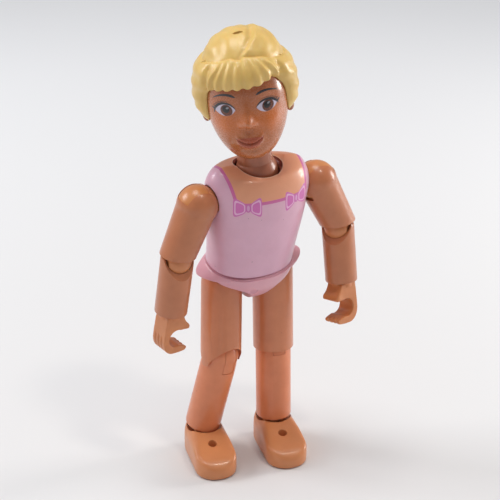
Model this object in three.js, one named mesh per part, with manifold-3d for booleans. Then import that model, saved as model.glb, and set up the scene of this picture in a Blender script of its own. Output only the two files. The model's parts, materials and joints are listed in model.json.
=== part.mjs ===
// A jointed miniature doll, about 140 mm tall, in the pose in which it stands by itself.
// Millimetres, +Z up. The doll faces -Y, and its left side is +X.

import * as THREE from 'three';
import * as BufferGeometryUtils from 'three/addons/utils/BufferGeometryUtils.js';
import Module from 'manifold-3d';

const wasm = await Module();
wasm.setup();

const degrees = Math.PI / 180;
const { sin, cos, tan, sqrt, hypot, atan2, asin, abs, sign, min, max, exp, PI } = Math;

// Fits shared by every joint
const gap = 0.3;
const seam = 0.15;
const pinRadius = 0.8;
const tolerance = 0.02;
const hairTolerance = 0.075;
const facets = 20;
const fineFacets = 28;

// Pose in which the doll stands, in degrees
const lean = 16;
const waistTurn = 0.5;
const waistTip = 2.2;
const legPose = {
  left: { flex: 3.5, spread: -0.9, turn: -6, knee: 0.5, footYaw: -11 },
  right: { flex: 8.5, spread: 5.1, turn: 12.8, knee: 19.8, footYaw: -11 },
};
const armPose = {
  left: { swing: 2, raise: 25.5, swivel: -50, bend: 10, handTurn: 65 },
  right: { swing: -8, raise: 21, swivel: 0, bend: 2.5, handTurn: 10 },
};
const forearmLean = 7;
const headPose = { turn: -26, nod: -10, tilt: -13 };

// Legs
const hipSpacing = 17.2;
const thighTopRadius = 6.2;
const thighRimRadius = 6.2;
const thighLength = 25.1;
const kneeAboveRim = 2.9;
const kneeWall = 0.5;
const shinRadius = 5.45;
const kneeToShinEnd = 26.4;
const shinEdge = 0.9;
const ankleAboveShinEnd = 2.6;
const ankleClearance = 1.2;
const frontArchHeight = 5.6;
const backArchHeight = 8;
const tongueWidth = 3.5;
const tongueDrop = 3.4;
const hipBallRadius = 3.2;
const hipCupWall = 1.1;
const hipStubRadius = 1.5;
const hipPegRadius = 2;
const hipPegLength = 13;

// Feet
const footWidth = 12.8;
const heelWidth = 12.4;
const footLength = 26;
const heelBack = 6.2;
const toeHeight = 6;
const ankleRim = 9.4;
const ankleHeight = 11.6;
const instepHoleRadius = 1.2;
const instepHoleForward = 9;
const instepHoleDepth = 5;

// Pelvis and torso, from the hip axis up
const waistAboveHips = 7.5;
const waistHalfWidth = 13.4;
const waistHalfDepth = 10.2;
const chestHalfWidth = 15.2;
const chestHalfDepth = 10.2;
const neckRimHalfWidth = 8.4;
const neckRimHalfDepth = 8.2;
const torsoHeight = 33;
const chestHeight = 20;
const torsoWall = 1.6;
const shoulderHalfWidth = 16.6;
const shoulderRound = 3;
const shoulderDepthRound = 1.9;
const shoulderFullAt = 0.55;
const backSlope = 16;
const skirtHalfWidth = 16.7;
const skirtHalfDepth = 11.8;
const skirtDrop = 1.7;
const skirtWall = 1.1;
const crotchRadius = 3.1;
const crotchDrop = 5.8;
const waistPostRadius = 2.8;

// Shoulders and arms
const shoulderHalfSpan = 19.5;
const shoulderAboveChest = 3.2;
const shoulderUp = chestHeight + shoulderAboveChest;
const shoulderBack = 0;
const shoulderRadius = 6.1;
const shoulderTongueWidth = 7.6;
const shoulderTongueRadius = 5.5;
const shoulderNeckRadius = 3.2;
const upperArmLength = 16;
const upperArmRadius = 5.25;
const elbowBelowRim = 2;
const elbowRadius = 4.3;
const elbowTongueWidth = 7.2;
const elbowFold = 60;
const elbowStemRadius = 2.4;
const elbowStemLength = 7;
const forearmRadius = 4.9;
const forearmRimRadius = 4.85;
const forearmLength = 16.8;
const wristRadius = 3.3;
const handLength = 12.4;
const handThickness = 6;
const gripRadius = 2.75;

// Neck and head
const neckHoleRadius = 7.2;
const neckBallBelowTop = 3.8;
const neckBallUp = torsoHeight - neckBallBelowTop;
const neckBack = 2.3;
const neckHoleTilt = 10;
const neckRadius = 5.1;
const neckBallRadius = 6.2;
const neckSeatRadius = 2;
const neckLinkRadius = 2.2;
const headCentreUp = 24.6;
const headForward = -1.4;
const headHalfWidth = 11.7;
const headHalfDepth = 12.3;
const skullTop = 16;
const chinDrop = 17.8;
const chinForward = 3.4;
const jawNarrowing = 0.02;
const hairTop = 19.3;
const hairMiddle = 2;
const hairHalfWidth = 14.6;
const hairHalfDepth = 15.2;
const hairBack = 1.2;
const hairBottom = -5.6;
const hairTuck = 8;
const fringeLow = 7.2;
const fringeHalfAngle = 50;
const lockSpan = 9.2;
const lockHeight = 0.65;
const rollHeight = 0.8;
const crownInset = 1.15;
const partingHeight = 0.75;
const grooveHeight = 13.8;
const grooveFall = 2.4;
const grooveTilt = 0.55;
const faceHalf = 11.5;
const lockFront = -4.2;

// Plastic colours, read by eye
const skin = 0xb9774f;
const skinWarm = 0xc0783f;
const skinDark = 0x8a5640;
const suitPink = 0xd9a6cd;
const hairYellow = 0xf1d488;
const pinGrey = 0xa98a72;

// Closed solids
function solid(geometry) {
  const plain = geometry.clone();
  plain.deleteAttribute('normal');
  plain.deleteAttribute('uv');
  const merged = BufferGeometryUtils.mergeVertices(plain, 1e-4);
  const vertProperties = new Float32Array(merged.attributes.position.array);
  const triVerts = new Uint32Array(merged.index.array);
  return new wasm.Manifold(new wasm.Mesh({ numProp: 3, vertProperties, triVerts }));
}

function geometryOf(shape) {
  const { vertProperties, triVerts } = shape.getMesh();
  const geometry = new THREE.BufferGeometry();
  geometry.setAttribute('position', new THREE.BufferAttribute(new Float32Array(vertProperties), 3));
  geometry.setIndex(new THREE.BufferAttribute(new Uint32Array(triVerts), 1));
  return geometry;
}

// Moves each vertex of a closed geometry to the place that the function gives
function warp(geometry, place) {
  const point = new THREE.Vector3();
  const positions = geometry.attributes.position;
  for (let i = 0; i < positions.count; i += 1) {
    point.fromBufferAttribute(positions, i);
    place(point);
    positions.setXYZ(i, point.x, point.y, point.z);
  }
  return geometry;
}

function box(low, high) {
  const size = high.map((value, i) => value - low[i]);
  const middle = high.map((value, i) => (value + low[i]) / 2);
  return solid(new THREE.BoxGeometry(...size).translate(...middle));
}

function rod(radius, length, axis = 'z', at = [0, 0, 0], sides = 20) {
  const geometry = new THREE.CylinderGeometry(radius, radius, length, sides);
  if (axis === 'z') geometry.rotateX(PI / 2);
  if (axis === 'x') geometry.rotateZ(PI / 2);
  return solid(geometry.translate(...at));
}

function ball(radius, at = [0, 0, 0], across = 24, up = 14) {
  return solid(new THREE.SphereGeometry(radius, across, up).rotateX(PI / 2).translate(...at));
}

// A turned solid about Z from points of radius and height, or about X where asked
function turned(points, axis = 'z', sides = facets) {
  const outline = points.map(([radius, height]) => new THREE.Vector2(radius, height));
  const geometry = new THREE.LatheGeometry(outline, sides).rotateX(PI / 2);
  if (axis === 'x') geometry.rotateY(PI / 2);
  return solid(geometry);
}

// Points of radius and height round a quarter or a half of a dome
function domePoints(radius, centre, from, to, steps) {
  const points = [];
  for (let i = 0; i <= steps; i += 1) {
    const angle = (from + ((to - from) * i) / steps) * degrees;
    points.push([max(0, radius * cos(angle)), centre + radius * sin(angle)]);
  }
  return points;
}

// A solid whose level sections are rounded ovals, given from t = 0 at the bottom to 1 at the top
function oval(levels, sides, section) {
  const unit = new THREE.CylinderGeometry(1, 1, 1, sides, levels).rotateX(PI / 2);
  return solid(warp(unit, (point) => {
    const { at, halfWidth, halfDepth, squareness = 2, ...lean } = section(point.z + 0.5);
    const { roll = 0, dip = 0, backFall = 0 } = lean;
    const angle = atan2(point.y, point.x);
    const reach = hypot(point.x, point.y);
    const x = halfWidth * reach * sign(cos(angle)) * abs(cos(angle)) ** (2 / squareness);
    const y = halfDepth * reach * sign(sin(angle)) * abs(sin(angle)) ** (2 / squareness);
    const slope = y < 0 ? dip : -backFall;
    point.set(at[0] + x * cos(roll), at[1] + y, at[2] + x * sin(roll) + slope * y);
  }));
}

// An outline of [a, b] points swept square to its plane: 'y' gives XZ outlines, 'x' YZ, 'z' XY
function plate(points, from, to, axis) {
  const outline = new THREE.Shape(points.map(([a, b]) => new THREE.Vector2(a, b)));
  const geometry = new THREE.ExtrudeGeometry(outline, { depth: to - from, bevelEnabled: false, steps: 1 });
  geometry.translate(0, 0, from);
  if (axis === 'y') geometry.rotateX(PI / 2).scale(1, -1, 1);
  if (axis === 'x') geometry.rotateX(PI / 2).rotateZ(PI / 2);
  const turnedOut = axis === 'y' ? flipped(geometry) : geometry;
  return solid(turnedOut);
}

function flipped(geometry) {
  const source = geometry.index ? geometry.toNonIndexed() : geometry;
  const positions = source.attributes.position;
  for (let i = 0; i < positions.count; i += 3) {
    const a = new THREE.Vector3().fromBufferAttribute(positions, i);
    const b = new THREE.Vector3().fromBufferAttribute(positions, i + 1);
    positions.setXYZ(i, b.x, b.y, b.z);
    positions.setXYZ(i + 1, a.x, a.y, a.z);
  }
  return source;
}

function ellipsePoints(halfWidth, halfHeight, centre, steps, from = 0, to = 360) {
  const points = [];
  for (let i = 0; i < steps; i += 1) {
    const angle = (from + ((to - from) * i) / (to - from < 360 ? steps - 1 : steps)) * degrees;
    points.push([centre[0] + halfWidth * cos(angle), centre[1] + halfHeight * sin(angle)]);
  }
  return points;
}

function mixed(a, b, t) {
  return a + (b - a) * t;
}

function smooth(edge0, edge1, value) {
  const t = min(1, max(0, (value - edge0) / (edge1 - edge0)));
  return t * t * (3 - 2 * t);
}

// Scene graph helpers
function piece(name, shape, colour, roughness = 0.42) {
  const material = new THREE.MeshStandardMaterial({ color: colour, roughness, metalness: 0 });
  const mesh = new THREE.Mesh(geometryOf(shape.simplify(tolerance)), material);
  mesh.name = name;
  return mesh;
}

function frameIn(parent, name, at = [0, 0, 0]) {
  const group = new THREE.Group();
  group.name = name;
  group.position.set(...at);
  parent.add(group);
  return group;
}

// Pelvis: flared skirt, top plate, and a crotch boss that carries both hips. The hip axis is its origin.
const crotchHalfWidth = hipSpacing / 2 - thighTopRadius - gap;
const waistSquareness = 2.3;
const bowlDrop = 5.2;
const bowlRound = 2.1;
const webHalfWidth = 1.4;
const thighInwards = 5;
const pelvisTolerance = 0.03;
const thighBack = 16;
const thighForward = 68;

function skirtSection(t, shrink) {
  const flare = max(0, 1 - t) ** 1.4;
  return {
    at: [0, 0, waistAboveHips - skirtDrop * (1 - t)],
    halfWidth: mixed(waistHalfWidth, skirtHalfWidth, flare) - shrink,
    halfDepth: mixed(waistHalfDepth, skirtHalfDepth, flare) - shrink,
    squareness: waistSquareness,
  };
}

function makePelvis() {
  const plateThickness = 1.6;
  const drop = 0.5;
  const far = 20;
  const skirt = oval(4, fineFacets, (t) => skirtSection(t, 0));
  const hollow = oval(4, fineFacets, (t) => {
    const section = skirtSection(t * 1.02 - 0.01, skirtWall);
    section.at[2] -= drop;
    return section;
  });
  const top = oval(1, fineFacets, (t) => ({
    at: [0, 0, waistAboveHips - gap - plateThickness * (1 - t)],
    halfWidth: waistHalfWidth - gap,
    halfDepth: waistHalfDepth - gap,
    squareness: waistSquareness,
  }));
  const above = box([-30, -30, waistAboveHips - gap], [30, 30, waistAboveHips + 5]);
  const boss = rod(crotchRadius, 2 * crotchHalfWidth, 'x', [0, 0, 0], 24);
  const bowl = oval(5, facets, (t) => {
    const inward = sqrt(max(0.02, 1 - ((1 - t) ** bowlRound)));
    return {
      at: [0, 0, waistAboveHips - gap - (waistAboveHips + bowlDrop) * (1 - t)],
      halfWidth: (waistHalfWidth - gap) * inward,
      halfDepth: waistHalfDepth * inward,
      squareness: waistSquareness,
    };
  });
  const vTop = waistAboveHips - 1;
  const vee = plate([[-waistHalfWidth, vTop], [-webHalfWidth, -crotchDrop], [webHalfWidth, -crotchDrop],
    [waistHalfWidth, vTop]], -far, far, 'y');
  let shape = skirt.subtract(hollow).subtract(above).add(top).add(bowl.intersect(vee)).add(boss);
  for (const side of [-1, 1]) {
    const room = [];
    for (const inwards of [0, thighInwards]) {
      const leaning = rod(thighTopRadius + gap, thighLength, 'z', [0, 0, -thighLength / 2], 18)
        .rotate([0, side * inwards, 0]);
      room.push(leaning.rotate([thighBack, 0, 0]), leaning.rotate([-thighForward, 0, 0]));
    }
    shape = shape.subtract(wasm.Manifold.hull(room).translate([side * hipSpacing / 2, 0, 0]));
    shape = shape.subtract(ball(thighTopRadius + gap, [side * hipSpacing / 2, 0, 0]));
  }
  shape = shape.subtract(rod(waistPostRadius - 1 + gap, 6, 'z', [0, 0, waistAboveHips]));
  return shape.subtract(rod(hipStubRadius + gap, hipSpacing, 'x')).simplify(pelvisTolerance);
}

// Torso, with its waist rim at the origin. It stands above the pelvis by waistPlay.
const waistPlay = 0.5;
const waistFloor = 2.2;
const keeperEnd = 9.3;
const keeperWidth = 1.2;
const keeperLip = 1.2;
const neckSeatDepth = 8;
const seatFloor = 1.4;

function torsoSection(height, shrink) {
  const rise = smooth(0, chestHeight, height);
  const above = max(0, (height - chestHeight) / (torsoHeight - chestHeight));
  const round = max(0, 1 - above ** shoulderRound) ** (1 / shoulderRound);
  const depthRound = sqrt(max(0, 1 - above ** shoulderDepthRound));
  const widest = mixed(chestHalfWidth, shoulderHalfWidth, smooth(0, shoulderFullAt, above));
  const halfWidth = mixed(neckRimHalfWidth, mixed(waistHalfWidth, widest, rise), round);
  const halfDepth = mixed(neckRimHalfDepth, mixed(waistHalfDepth, chestHalfDepth, rise), depthRound);
  return {
    at: [0, neckBack * above, height],
    halfWidth: halfWidth - shrink,
    halfDepth: halfDepth - shrink,
    squareness: mixed(2.2, 2.15, rise),
    dip: tan(neckHoleTilt * degrees) * above,
    backFall: tan(backSlope * degrees) * above,
  };
}

function makeTorso() {
  const levels = 10;
  const outer = oval(levels, fineFacets, (t) => torsoSection(torsoHeight * (1 - (1 - t) ** 1.3), 0));
  const inner = oval(4, 20, (t) => {
    const section = torsoSection(mixed(waistFloor, torsoHeight - 5, t), torsoWall);
    section.halfWidth = min(section.halfWidth, keeperEnd + 1.6);
    return section;
  });
  const bore = neckBallRadius + 0.7;
  const boreFloor = neckBallUp - neckSeatDepth;
  const collarWall = 1.4;
  const collar = turned([
    [0, boreFloor - seatFloor], [bore, boreFloor - seatFloor], [bore + collarWall, boreFloor],
    [bore + collarWall, torsoHeight], [0, torsoHeight],
  ]).translate([0, neckBack, 0]);
  let shape = outer.subtract(inner).add(collar.intersect(outer));
  shape = shape.subtract(turned([
    [0, boreFloor], [bore, boreFloor], [bore, neckBallUp + 1], [neckHoleRadius, neckBallUp + 1.6],
    [neckHoleRadius, torsoHeight + 6], [0, torsoHeight + 6],
  ]).translate([0, neckBack, 0]));
  shape = shape.subtract(rod(neckSeatRadius + gap, 8, 'z', [0, neckBack, boreFloor]));
  shape = shape.subtract(rod(waistPostRadius + gap, 8, 'z'));
  for (const side of [-1, 1]) {
    const at = [side * shoulderHalfSpan, shoulderBack, shoulderUp];
    shape = shape.subtract(ball(shoulderRadius + gap + 0.1, at));
    const shaftMiddle = [side * (shoulderHalfSpan - 6), shoulderBack, shoulderUp];
    shape = shape.subtract(rod(shoulderNeckRadius + gap, 12, 'x', shaftMiddle));
    const pocketMiddle = [side * (keeperEnd + keeperWidth / 2), shoulderBack, shoulderUp];
    shape = shape.subtract(rod(shoulderNeckRadius + keeperLip + gap, keeperWidth + 2 * gap, 'x', pocketMiddle));
  }
  return shape;
}

const torsoWhole = makeTorso();
const seamY = shoulderBack;

function torsoShell(front) {
  const far = 40;
  const half = front
    ? box([-far, -far, -far], [far, seamY - seam, far * 2])
    : box([-far, seamY + seam, -far], [far, far, far * 2]);
  return torsoWhole.intersect(half);
}

function makeWaistPost() {
  const flange = waistPostRadius + 1.6;
  const peg = waistPostRadius - 1;
  const pegEnd = -waistPlay - gap - 1.6;
  return turned([
    [0, pegEnd], [peg, pegEnd], [peg, -waistPlay], [waistPostRadius, -waistPlay], [waistPostRadius, waistFloor + gap],
    [flange, waistFloor + gap], [flange, waistFloor + gap + 1.4], [0, waistFloor + gap + 1.4],
  ], 'z', 18);
}

// Leg pieces. The thigh's frame has the hip at its origin, and the shin's has the knee.
const kneeDepth = thighLength - kneeAboveRim;
const kneeCavityRadius = thighRimRadius - kneeWall;
const kneeDomeRadius = kneeCavityRadius - gap - 0.05;
const hipCupRadius = hipBallRadius + gap + hipCupWall;

function makeHipLink(side) {
  const stubEnd = hipSpacing / 2 - gap;
  const stub = rod(hipStubRadius, stubEnd, 'x', [-side * stubEnd / 2, 0, 0], 16);
  return ball(hipBallRadius, [0, 0, 0], 14, 8).add(stub);
}

function makeHipPeg(side) {
  const hollow = hipBallRadius + gap;
  const post = rod(hipPegRadius, hipPegLength - hipCupRadius + 1, 'z',
    [0, 0, -(hipPegLength + hipCupRadius - 1) / 2], 16);
  const inward = side > 0 ? [-8, 0.6] : [-0.6, 8];
  const mouthHalf = hipStubRadius + 1.2;
  const mouth = box([inward[0] < -1 ? -8 : 1.4, -mouthHalf, -mouthHalf], [inward[0] < -1 ? -1.4 : 8, mouthHalf, 8]);
  return ball(hipCupRadius, [0, 0, 0], 14, 8).add(post).subtract(ball(hollow, [0, 0, 0], 14, 8)).subtract(mouth);
}

function makeThigh(side, hasFrontArch) {
  const rimEdge = 0.35;
  const outer = turned([
    [0, -thighLength], [thighRimRadius - rimEdge, -thighLength], [thighRimRadius, -thighLength + rimEdge],
    ...domePoints(thighTopRadius, 0, -2, 90, 8),
  ], 'z', fineFacets);
  const kneeCavity = turned([
    [0, -thighLength - 1], [kneeCavityRadius, -thighLength - 1],
    ...domePoints(kneeCavityRadius, -kneeDepth, 0, 90, 6),
  ]);
  let shape = outer.subtract(kneeCavity);
  shape = shape.subtract(ball(hipCupRadius + gap, [0, 0, 0], 16, 8));
  shape = shape.subtract(rod(hipPegRadius + gap, hipPegLength + gap, 'z', [0, 0, -(hipPegLength + gap) / 2]));
  const slotHalf = 3.9;
  const slotX = side > 0 ? [-10, -1.5] : [1.5, 10];
  shape = shape.subtract(box([slotX[0], -slotHalf, -2.3], [slotX[1], slotHalf, 10]));
  const archHalfWidth = thighRimRadius - 0.15;
  const back = plate(ellipsePoints(archHalfWidth, backArchHeight, [0, -thighLength], 24), 0.6, 12, 'y');
  shape = shape.subtract(back);
  if (hasFrontArch) {
    const front = plate(ellipsePoints(archHalfWidth, frontArchHeight, [0, -thighLength], 24), -12, -0.6, 'y');
    shape = shape.subtract(front);
  }
  return shape.subtract(rod(pinRadius, 2 * thighRimRadius + 2, 'x', [0, 0, -kneeDepth], 12));
}

function shinForm() {
  return turned([
    [0, -kneeToShinEnd], [shinRadius - shinEdge, -kneeToShinEnd],
    [shinRadius - shinEdge * 0.3, -kneeToShinEnd + shinEdge * 0.3], [shinRadius, -kneeToShinEnd + shinEdge],
    [shinRadius, -kneeAboveRim - 0.6], ...domePoints(kneeDomeRadius, 0, -24, 90, 8),
  ], 'z', facets);
}

function makeKneeTongue() {
  const half = tongueWidth / 2 - seam;
  const slab = box([-half, -10, -tongueDrop + seam], [half, 10, 10]);
  return shinForm().intersect(slab).subtract(rod(pinRadius + gap / 2, 12, 'x', [0, 0, 0], 16));
}

function makeShin() {
  const half = tongueWidth / 2 + seam;
  const hollowRadius = shinRadius - 0.8;
  const hollowTop = -kneeToShinEnd + ankleAboveShinEnd + 4.2;
  const slot = box([-half, -10, -tongueDrop - seam], [half, 10, 10]);
  const socket = turned([
    [0, -kneeToShinEnd - 1], [hollowRadius, -kneeToShinEnd - 1], [hollowRadius, hollowTop],
    [anklePostRadius + gap, hollowTop + 0.8], [anklePostRadius + gap, hollowTop + 6], [0, hollowTop + 6],
  ], 'z', 20);
  return shinForm().subtract(slot).subtract(socket).subtract(rod(pinRadius + gap / 2, 14, 'x', [0, 0, 0], 16));
}

function makePin(length, radius = pinRadius - 0.1) {
  return rod(radius, length, 'x', [0, 0, 0], 12);
}

// Ankle link: an eye on a post that turns in the shin. Its origin is the ankle.
const anklePostRadius = 1.2;
const eyeRadius = 2.3;
const eyeHalfWidth = 1.3;
const cheekPlay = 0.45;
const cheekWidth = 1.3;

function makeAnkleLink() {
  const eye = ball(eyeRadius, [0, 0, 0], 16, 8).intersect(box([-eyeHalfWidth, -5, -5], [eyeHalfWidth, 5, 5]));
  const post = rod(anklePostRadius, 8, 'z', [0, 0, 5.4], 14);
  return eye.add(post).subtract(rod(pinRadius + gap, 10, 'x', [0, 0, 0], 12));
}

// Foot, with the ankle at its origin and its sole ankleHeight below
function footOutline() {
  const toe = -(footLength - heelBack);
  const heelHalf = heelWidth / 2;
  const toeHalf = footWidth / 2;
  const heelRound = ellipsePoints(heelHalf, heelHalf * 0.9, [0, heelBack - heelHalf * 0.9], 9, 0, 180);
  const toeRound = ellipsePoints(toeHalf, toeHalf * 0.95, [0, toe + toeHalf * 0.95], 11, 180, 360);
  return [...heelRound, ...toeRound];
}

function makeFoot() {
  const sole = -ankleHeight;
  const rim = sole + ankleRim;
  const toe = -(footLength - heelBack);
  const toeTop = sole + toeHeight;
  const plan = plate(footOutline(), sole, rim + 4, 'z');
  const side = plate([
    [heelBack + 1, sole - 1], [heelBack + 1, rim - 2.4], [heelBack - 1, rim], [-4, rim],
    [-7, rim - 0.7], [toe + 3.2, toeTop], [toe + 1.4, toeTop - 0.7], [toe + 0.35, toeTop - 2.2],
    [toe - 0.2, toeTop - 4], [toe - 0.2, sole - 1],
  ], -10, 10, 'x');
  const topEdge = 1.8;
  const half = footWidth / 2 + 0.1;
  const front = plate([
    [-half, sole], [half, sole], [half, rim - 3.6], [half - topEdge * 0.35, rim - 1.5],
    [half - topEdge, rim + 0.3], [-half + topEdge, rim + 0.3], [-half + topEdge * 0.35, rim - 1.5],
    [-half, rim - 3.6],
  ], -30, 20, 'y');
  let shape = plan.intersect(side).intersect(front);
  const reach = shinRadius + ankleClearance;
  const cupHalf = 6.4;
  const cup = [[0, -cupHalf]];
  for (let i = 0; i <= 12; i += 1) {
    const x = mixed(-cupHalf, cupHalf, i / 12);
    const drop = ankleAboveShinEnd - shinEdge;
    const radius = sqrt(max(0, reach ** 2 - x ** 2) + (drop + ankleClearance) ** 2);
    cup.push([min(radius, 7), x]);
  }
  cup.push([0, cupHalf]);
  shape = shape.subtract(turned(cup, 'x', fineFacets));
  const cheekIn = eyeHalfWidth + cheekPlay;
  const cheekOut = cheekIn + cheekWidth;
  const cheekHalf = 1.8;
  for (const side of [-1, 1]) {
    const from = side > 0 ? cheekIn : -cheekOut;
    const to = side > 0 ? cheekOut : -cheekIn;
    const cheek = box([from, -cheekHalf, -8], [to, cheekHalf, 0])
      .add(rod(cheekHalf, to - from, 'x', [(from + to) / 2, 0, 0], 16));
    shape = shape.add(cheek);
  }
  shape = shape.subtract(rod(pinRadius, 12, 'x', [0, 0, 0], 12));
  const hole = rod(instepHoleRadius, instepHoleDepth, 'z', [0, 0, 0], 16)
    .rotate([8, 0, 0]).translate([0, -instepHoleForward, rim - 1.6]);
  return shape.subtract(hole);
}

// Arm pieces. The shoulder is the origin of the knuckle and the upper arm.
const elbowSlant = (pose) => pose.raise - forearmLean;

function makeShoulderKnuckle(side) {
  const disc = rod(shoulderTongueRadius, shoulderTongueWidth, 'y', [0, 0, 0], facets)
    .intersect(ball(shoulderRadius, [0, 0, 0], facets, 12));
  const neckEnd = shoulderHalfSpan - keeperEnd;
  const neck = rod(shoulderNeckRadius, neckEnd, 'x', [-side * neckEnd / 2, 0, 0], 20);
  const keeper = rod(shoulderNeckRadius + keeperLip, keeperWidth, 'x', [-side * (neckEnd - keeperWidth / 2), 0, 0], 20);
  return disc.add(neck).add(keeper).subtract(rod(pinRadius + gap / 2, 20, 'y', [0, 0, 0], 12));
}

function makeUpperArm(side, pose) {
  const slant = -side * elbowSlant(pose) * degrees;
  const limb = oval(4, facets, (t) => ({
    at: [0, 0, -upperArmLength * (1 - t)],
    halfWidth: mixed(upperArmRadius, shoulderRadius - 0.15, t) / cos(slant * (1 - t)),
    halfDepth: mixed(upperArmRadius, shoulderRadius - 0.15, t),
    roll: slant * (1 - t),
  }));
  const slotHalf = shoulderTongueWidth / 2 + gap;
  const far = 14;
  const round = rod(shoulderTongueRadius + gap, 2 * slotHalf, 'y', [0, 0, 0], facets);
  const outer = side > 0 ? [0, far] : [-far, 0];
  const inner = side > 0 ? [-far, 0] : [0, far];
  const slot = round
    .add(box([outer[0], -slotHalf, 0.4], [outer[1], slotHalf, far]))
    .add(box([inner[0], -slotHalf, -shoulderNeckRadius - gap], [inner[1], slotHalf, far]));
  const cup = ball(elbowRadius + 0.6, [0, 0, -upperArmLength], 16, 10);
  const stemHole = rod(elbowStemRadius + gap, 2 * elbowStemLength + 1, 'z', [0, 0, 0], 20)
    .rotate([0, -slant / degrees, 0]).translate([0, 0, -upperArmLength]);
  return ball(shoulderRadius, [0, 0, 0], facets, 12).add(limb).subtract(slot).subtract(cup)
    .subtract(stemHole).subtract(rod(pinRadius, 20, 'y', [0, 0, 0], 12));
}

// Elbow knuckle, with the middle of the upper arm's rim at its origin
function makeElbowKnuckle() {
  const half = elbowTongueWidth / 2;
  const knuckle = ball(elbowRadius, [0, 0, -elbowBelowRim], 20, 12)
    .intersect(box([-half, -8, -10], [half, 8, 10]));
  const stem = rod(elbowStemRadius, elbowStemLength, 'z', [0, 0, elbowStemLength / 2], 20);
  return knuckle.add(stem).subtract(rod(pinRadius + gap / 2, 14, 'x', [0, 0, -elbowBelowRim], 12));
}

// Forearm, with the elbow pin at its origin
function makeForearm() {
  const earTop = 1.2;
  const end = -forearmLength;
  const rimEdge = 0.4;
  const outer = turned([
    [0, end], [forearmRimRadius - rimEdge, end], [forearmRimRadius, end + rimEdge],
    [forearmRadius, -2], [forearmRadius, earTop - 0.4], [forearmRadius - 0.4, earTop], [0, earTop],
  ]);
  const slotHalf = elbowTongueWidth / 2 + gap;
  const floor = rod(elbowRadius + 0.5, 2 * slotHalf, 'x', [0, 0, 0], facets);
  const open = box([-slotHalf, -10, -1.8], [slotHalf, 10, 6]);
  const steep = Math.tan(elbowFold * degrees);
  const frontCut = plate([[-0.8, earTop], [-0.8, 6], [-12, 6], [-12, earTop - 11.2 * steep]], -10, 10, 'x');
  const wrist = rod(wristRadius - 0.8 + gap, 7, 'z', [0, 0, end + 3], 20);
  return outer.subtract(floor).subtract(open).subtract(frontCut).subtract(wrist)
    .subtract(rod(pinRadius, 14, 'x', [0, 0, 0], 12));
}

// Hand, with the wrist at its origin. The grip opens towards +X.
function makeHand() {
  const backX = -2.9;
  const gripX = 1.3;
  const gripZ = -7.4;
  const outline = new THREE.Shape();
  outline.moveTo(-2.9, 0);
  outline.lineTo(2.9, 0);
  outline.quadraticCurveTo(3.4, -1.8, 4.9, -3.4);
  outline.lineTo(5.2, -4.6);
  outline.lineTo(3.4, gripZ + gripRadius + 0.2);
  outline.absarc(gripX, gripZ, gripRadius, 70 * degrees, 290 * degrees, false);
  outline.lineTo(4.3, -10.4);
  outline.lineTo(5.2, -10.8);
  outline.lineTo(4.7, -12);
  outline.quadraticCurveTo(2.4, -handLength, 0, -handLength);
  outline.quadraticCurveTo(backX, -handLength + 0.6, backX - 0.4, -8.4);
  outline.quadraticCurveTo(backX - 0.4, -3.6, -2.9, 0);
  const bevel = 0.8;
  const geometry = new THREE.ExtrudeGeometry(outline, {
    depth: handThickness - 2 * bevel, curveSegments: 6, bevelSize: 0.5, bevelOffset: -0.5,
    bevelThickness: bevel, bevelSegments: 2,
  });
  geometry.translate(0, 0, -(handThickness - 2 * bevel) / 2).rotateX(PI / 2);
  const post = rod(wristRadius - 0.8, 6.4, 'z', [0, 0, 2.4], 20);
  const collar = rod(wristRadius, 1.2, 'z', [0, 0, -0.5], 20);
  return solid(geometry).add(post).add(collar);
}

// Neck, with the middle of its ball at the origin
function makeNeck() {
  const neckTop = 15;
  const plugRadius = neckRadius - 1.4;
  const ballPart = ball(neckBallRadius, [0, 0, 0], 24, 12);
  const column = turned([
    [0, 0], [neckRadius, 0], [neckRadius, 10], [plugRadius, 12], [plugRadius, neckTop], [0, neckTop],
  ], 'z', 26);
  const hollow = ball(neckLinkRadius + gap, [0, 0, 0], 16, 10);
  const mouth = turned([[0, -9], [6.4, -9], [1.7, 0], [0, 0]], 'z', 16);
  return ballPart.add(column).subtract(hollow).subtract(mouth);
}

function makeNeckSeat() {
  const top = -neckLinkRadius - gap;
  const floor = -neckSeatDepth;
  const flangeRadius = 3.6;
  const flange = 1;
  const keeper = floor - seatFloor - gap;
  return turned([
    [0, keeper - flange], [flangeRadius, keeper - flange], [flangeRadius, keeper], [neckSeatRadius, keeper],
    [neckSeatRadius, floor + gap], [flangeRadius, floor + gap], [flangeRadius, floor + gap + 0.8],
    [neckSeatRadius - 0.9, floor + gap + 1.4], [neckSeatRadius - 0.9, top], [0, top],
  ], 'z', 18);
}

// Head and hair, with the middle of the head at the origin
function headPoint(point, grow) {
  const { x, y, z } = point.clone().normalize();
  const low = smooth(-0.1, -1, z);
  const narrow = 1 - jawNarrowing * low;
  const backIn = y > 0 ? 1 - 0.25 * low : 1;
  const height = z > 0 ? skullTop : chinDrop;
  point.set(
    x * (headHalfWidth + grow) * narrow,
    y * (headHalfDepth + grow) * backIn - chinForward * low,
    z * (height + grow),
  );
}

function headForm(grow) {
  let shape = solid(warp(new THREE.SphereGeometry(1, 28, 20).rotateX(PI / 2), (point) => headPoint(point, grow)));
  for (const side of [-1, 1]) {
    const ear = ball(1, [0, 0, 0], 10, 6).scale([1.2 + grow, 1.4 + grow, 2 + grow]);
    shape = shape.add(ear.translate([side * headHalfWidth, 0.8, -4.6]));
  }
  return shape;
}

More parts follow.
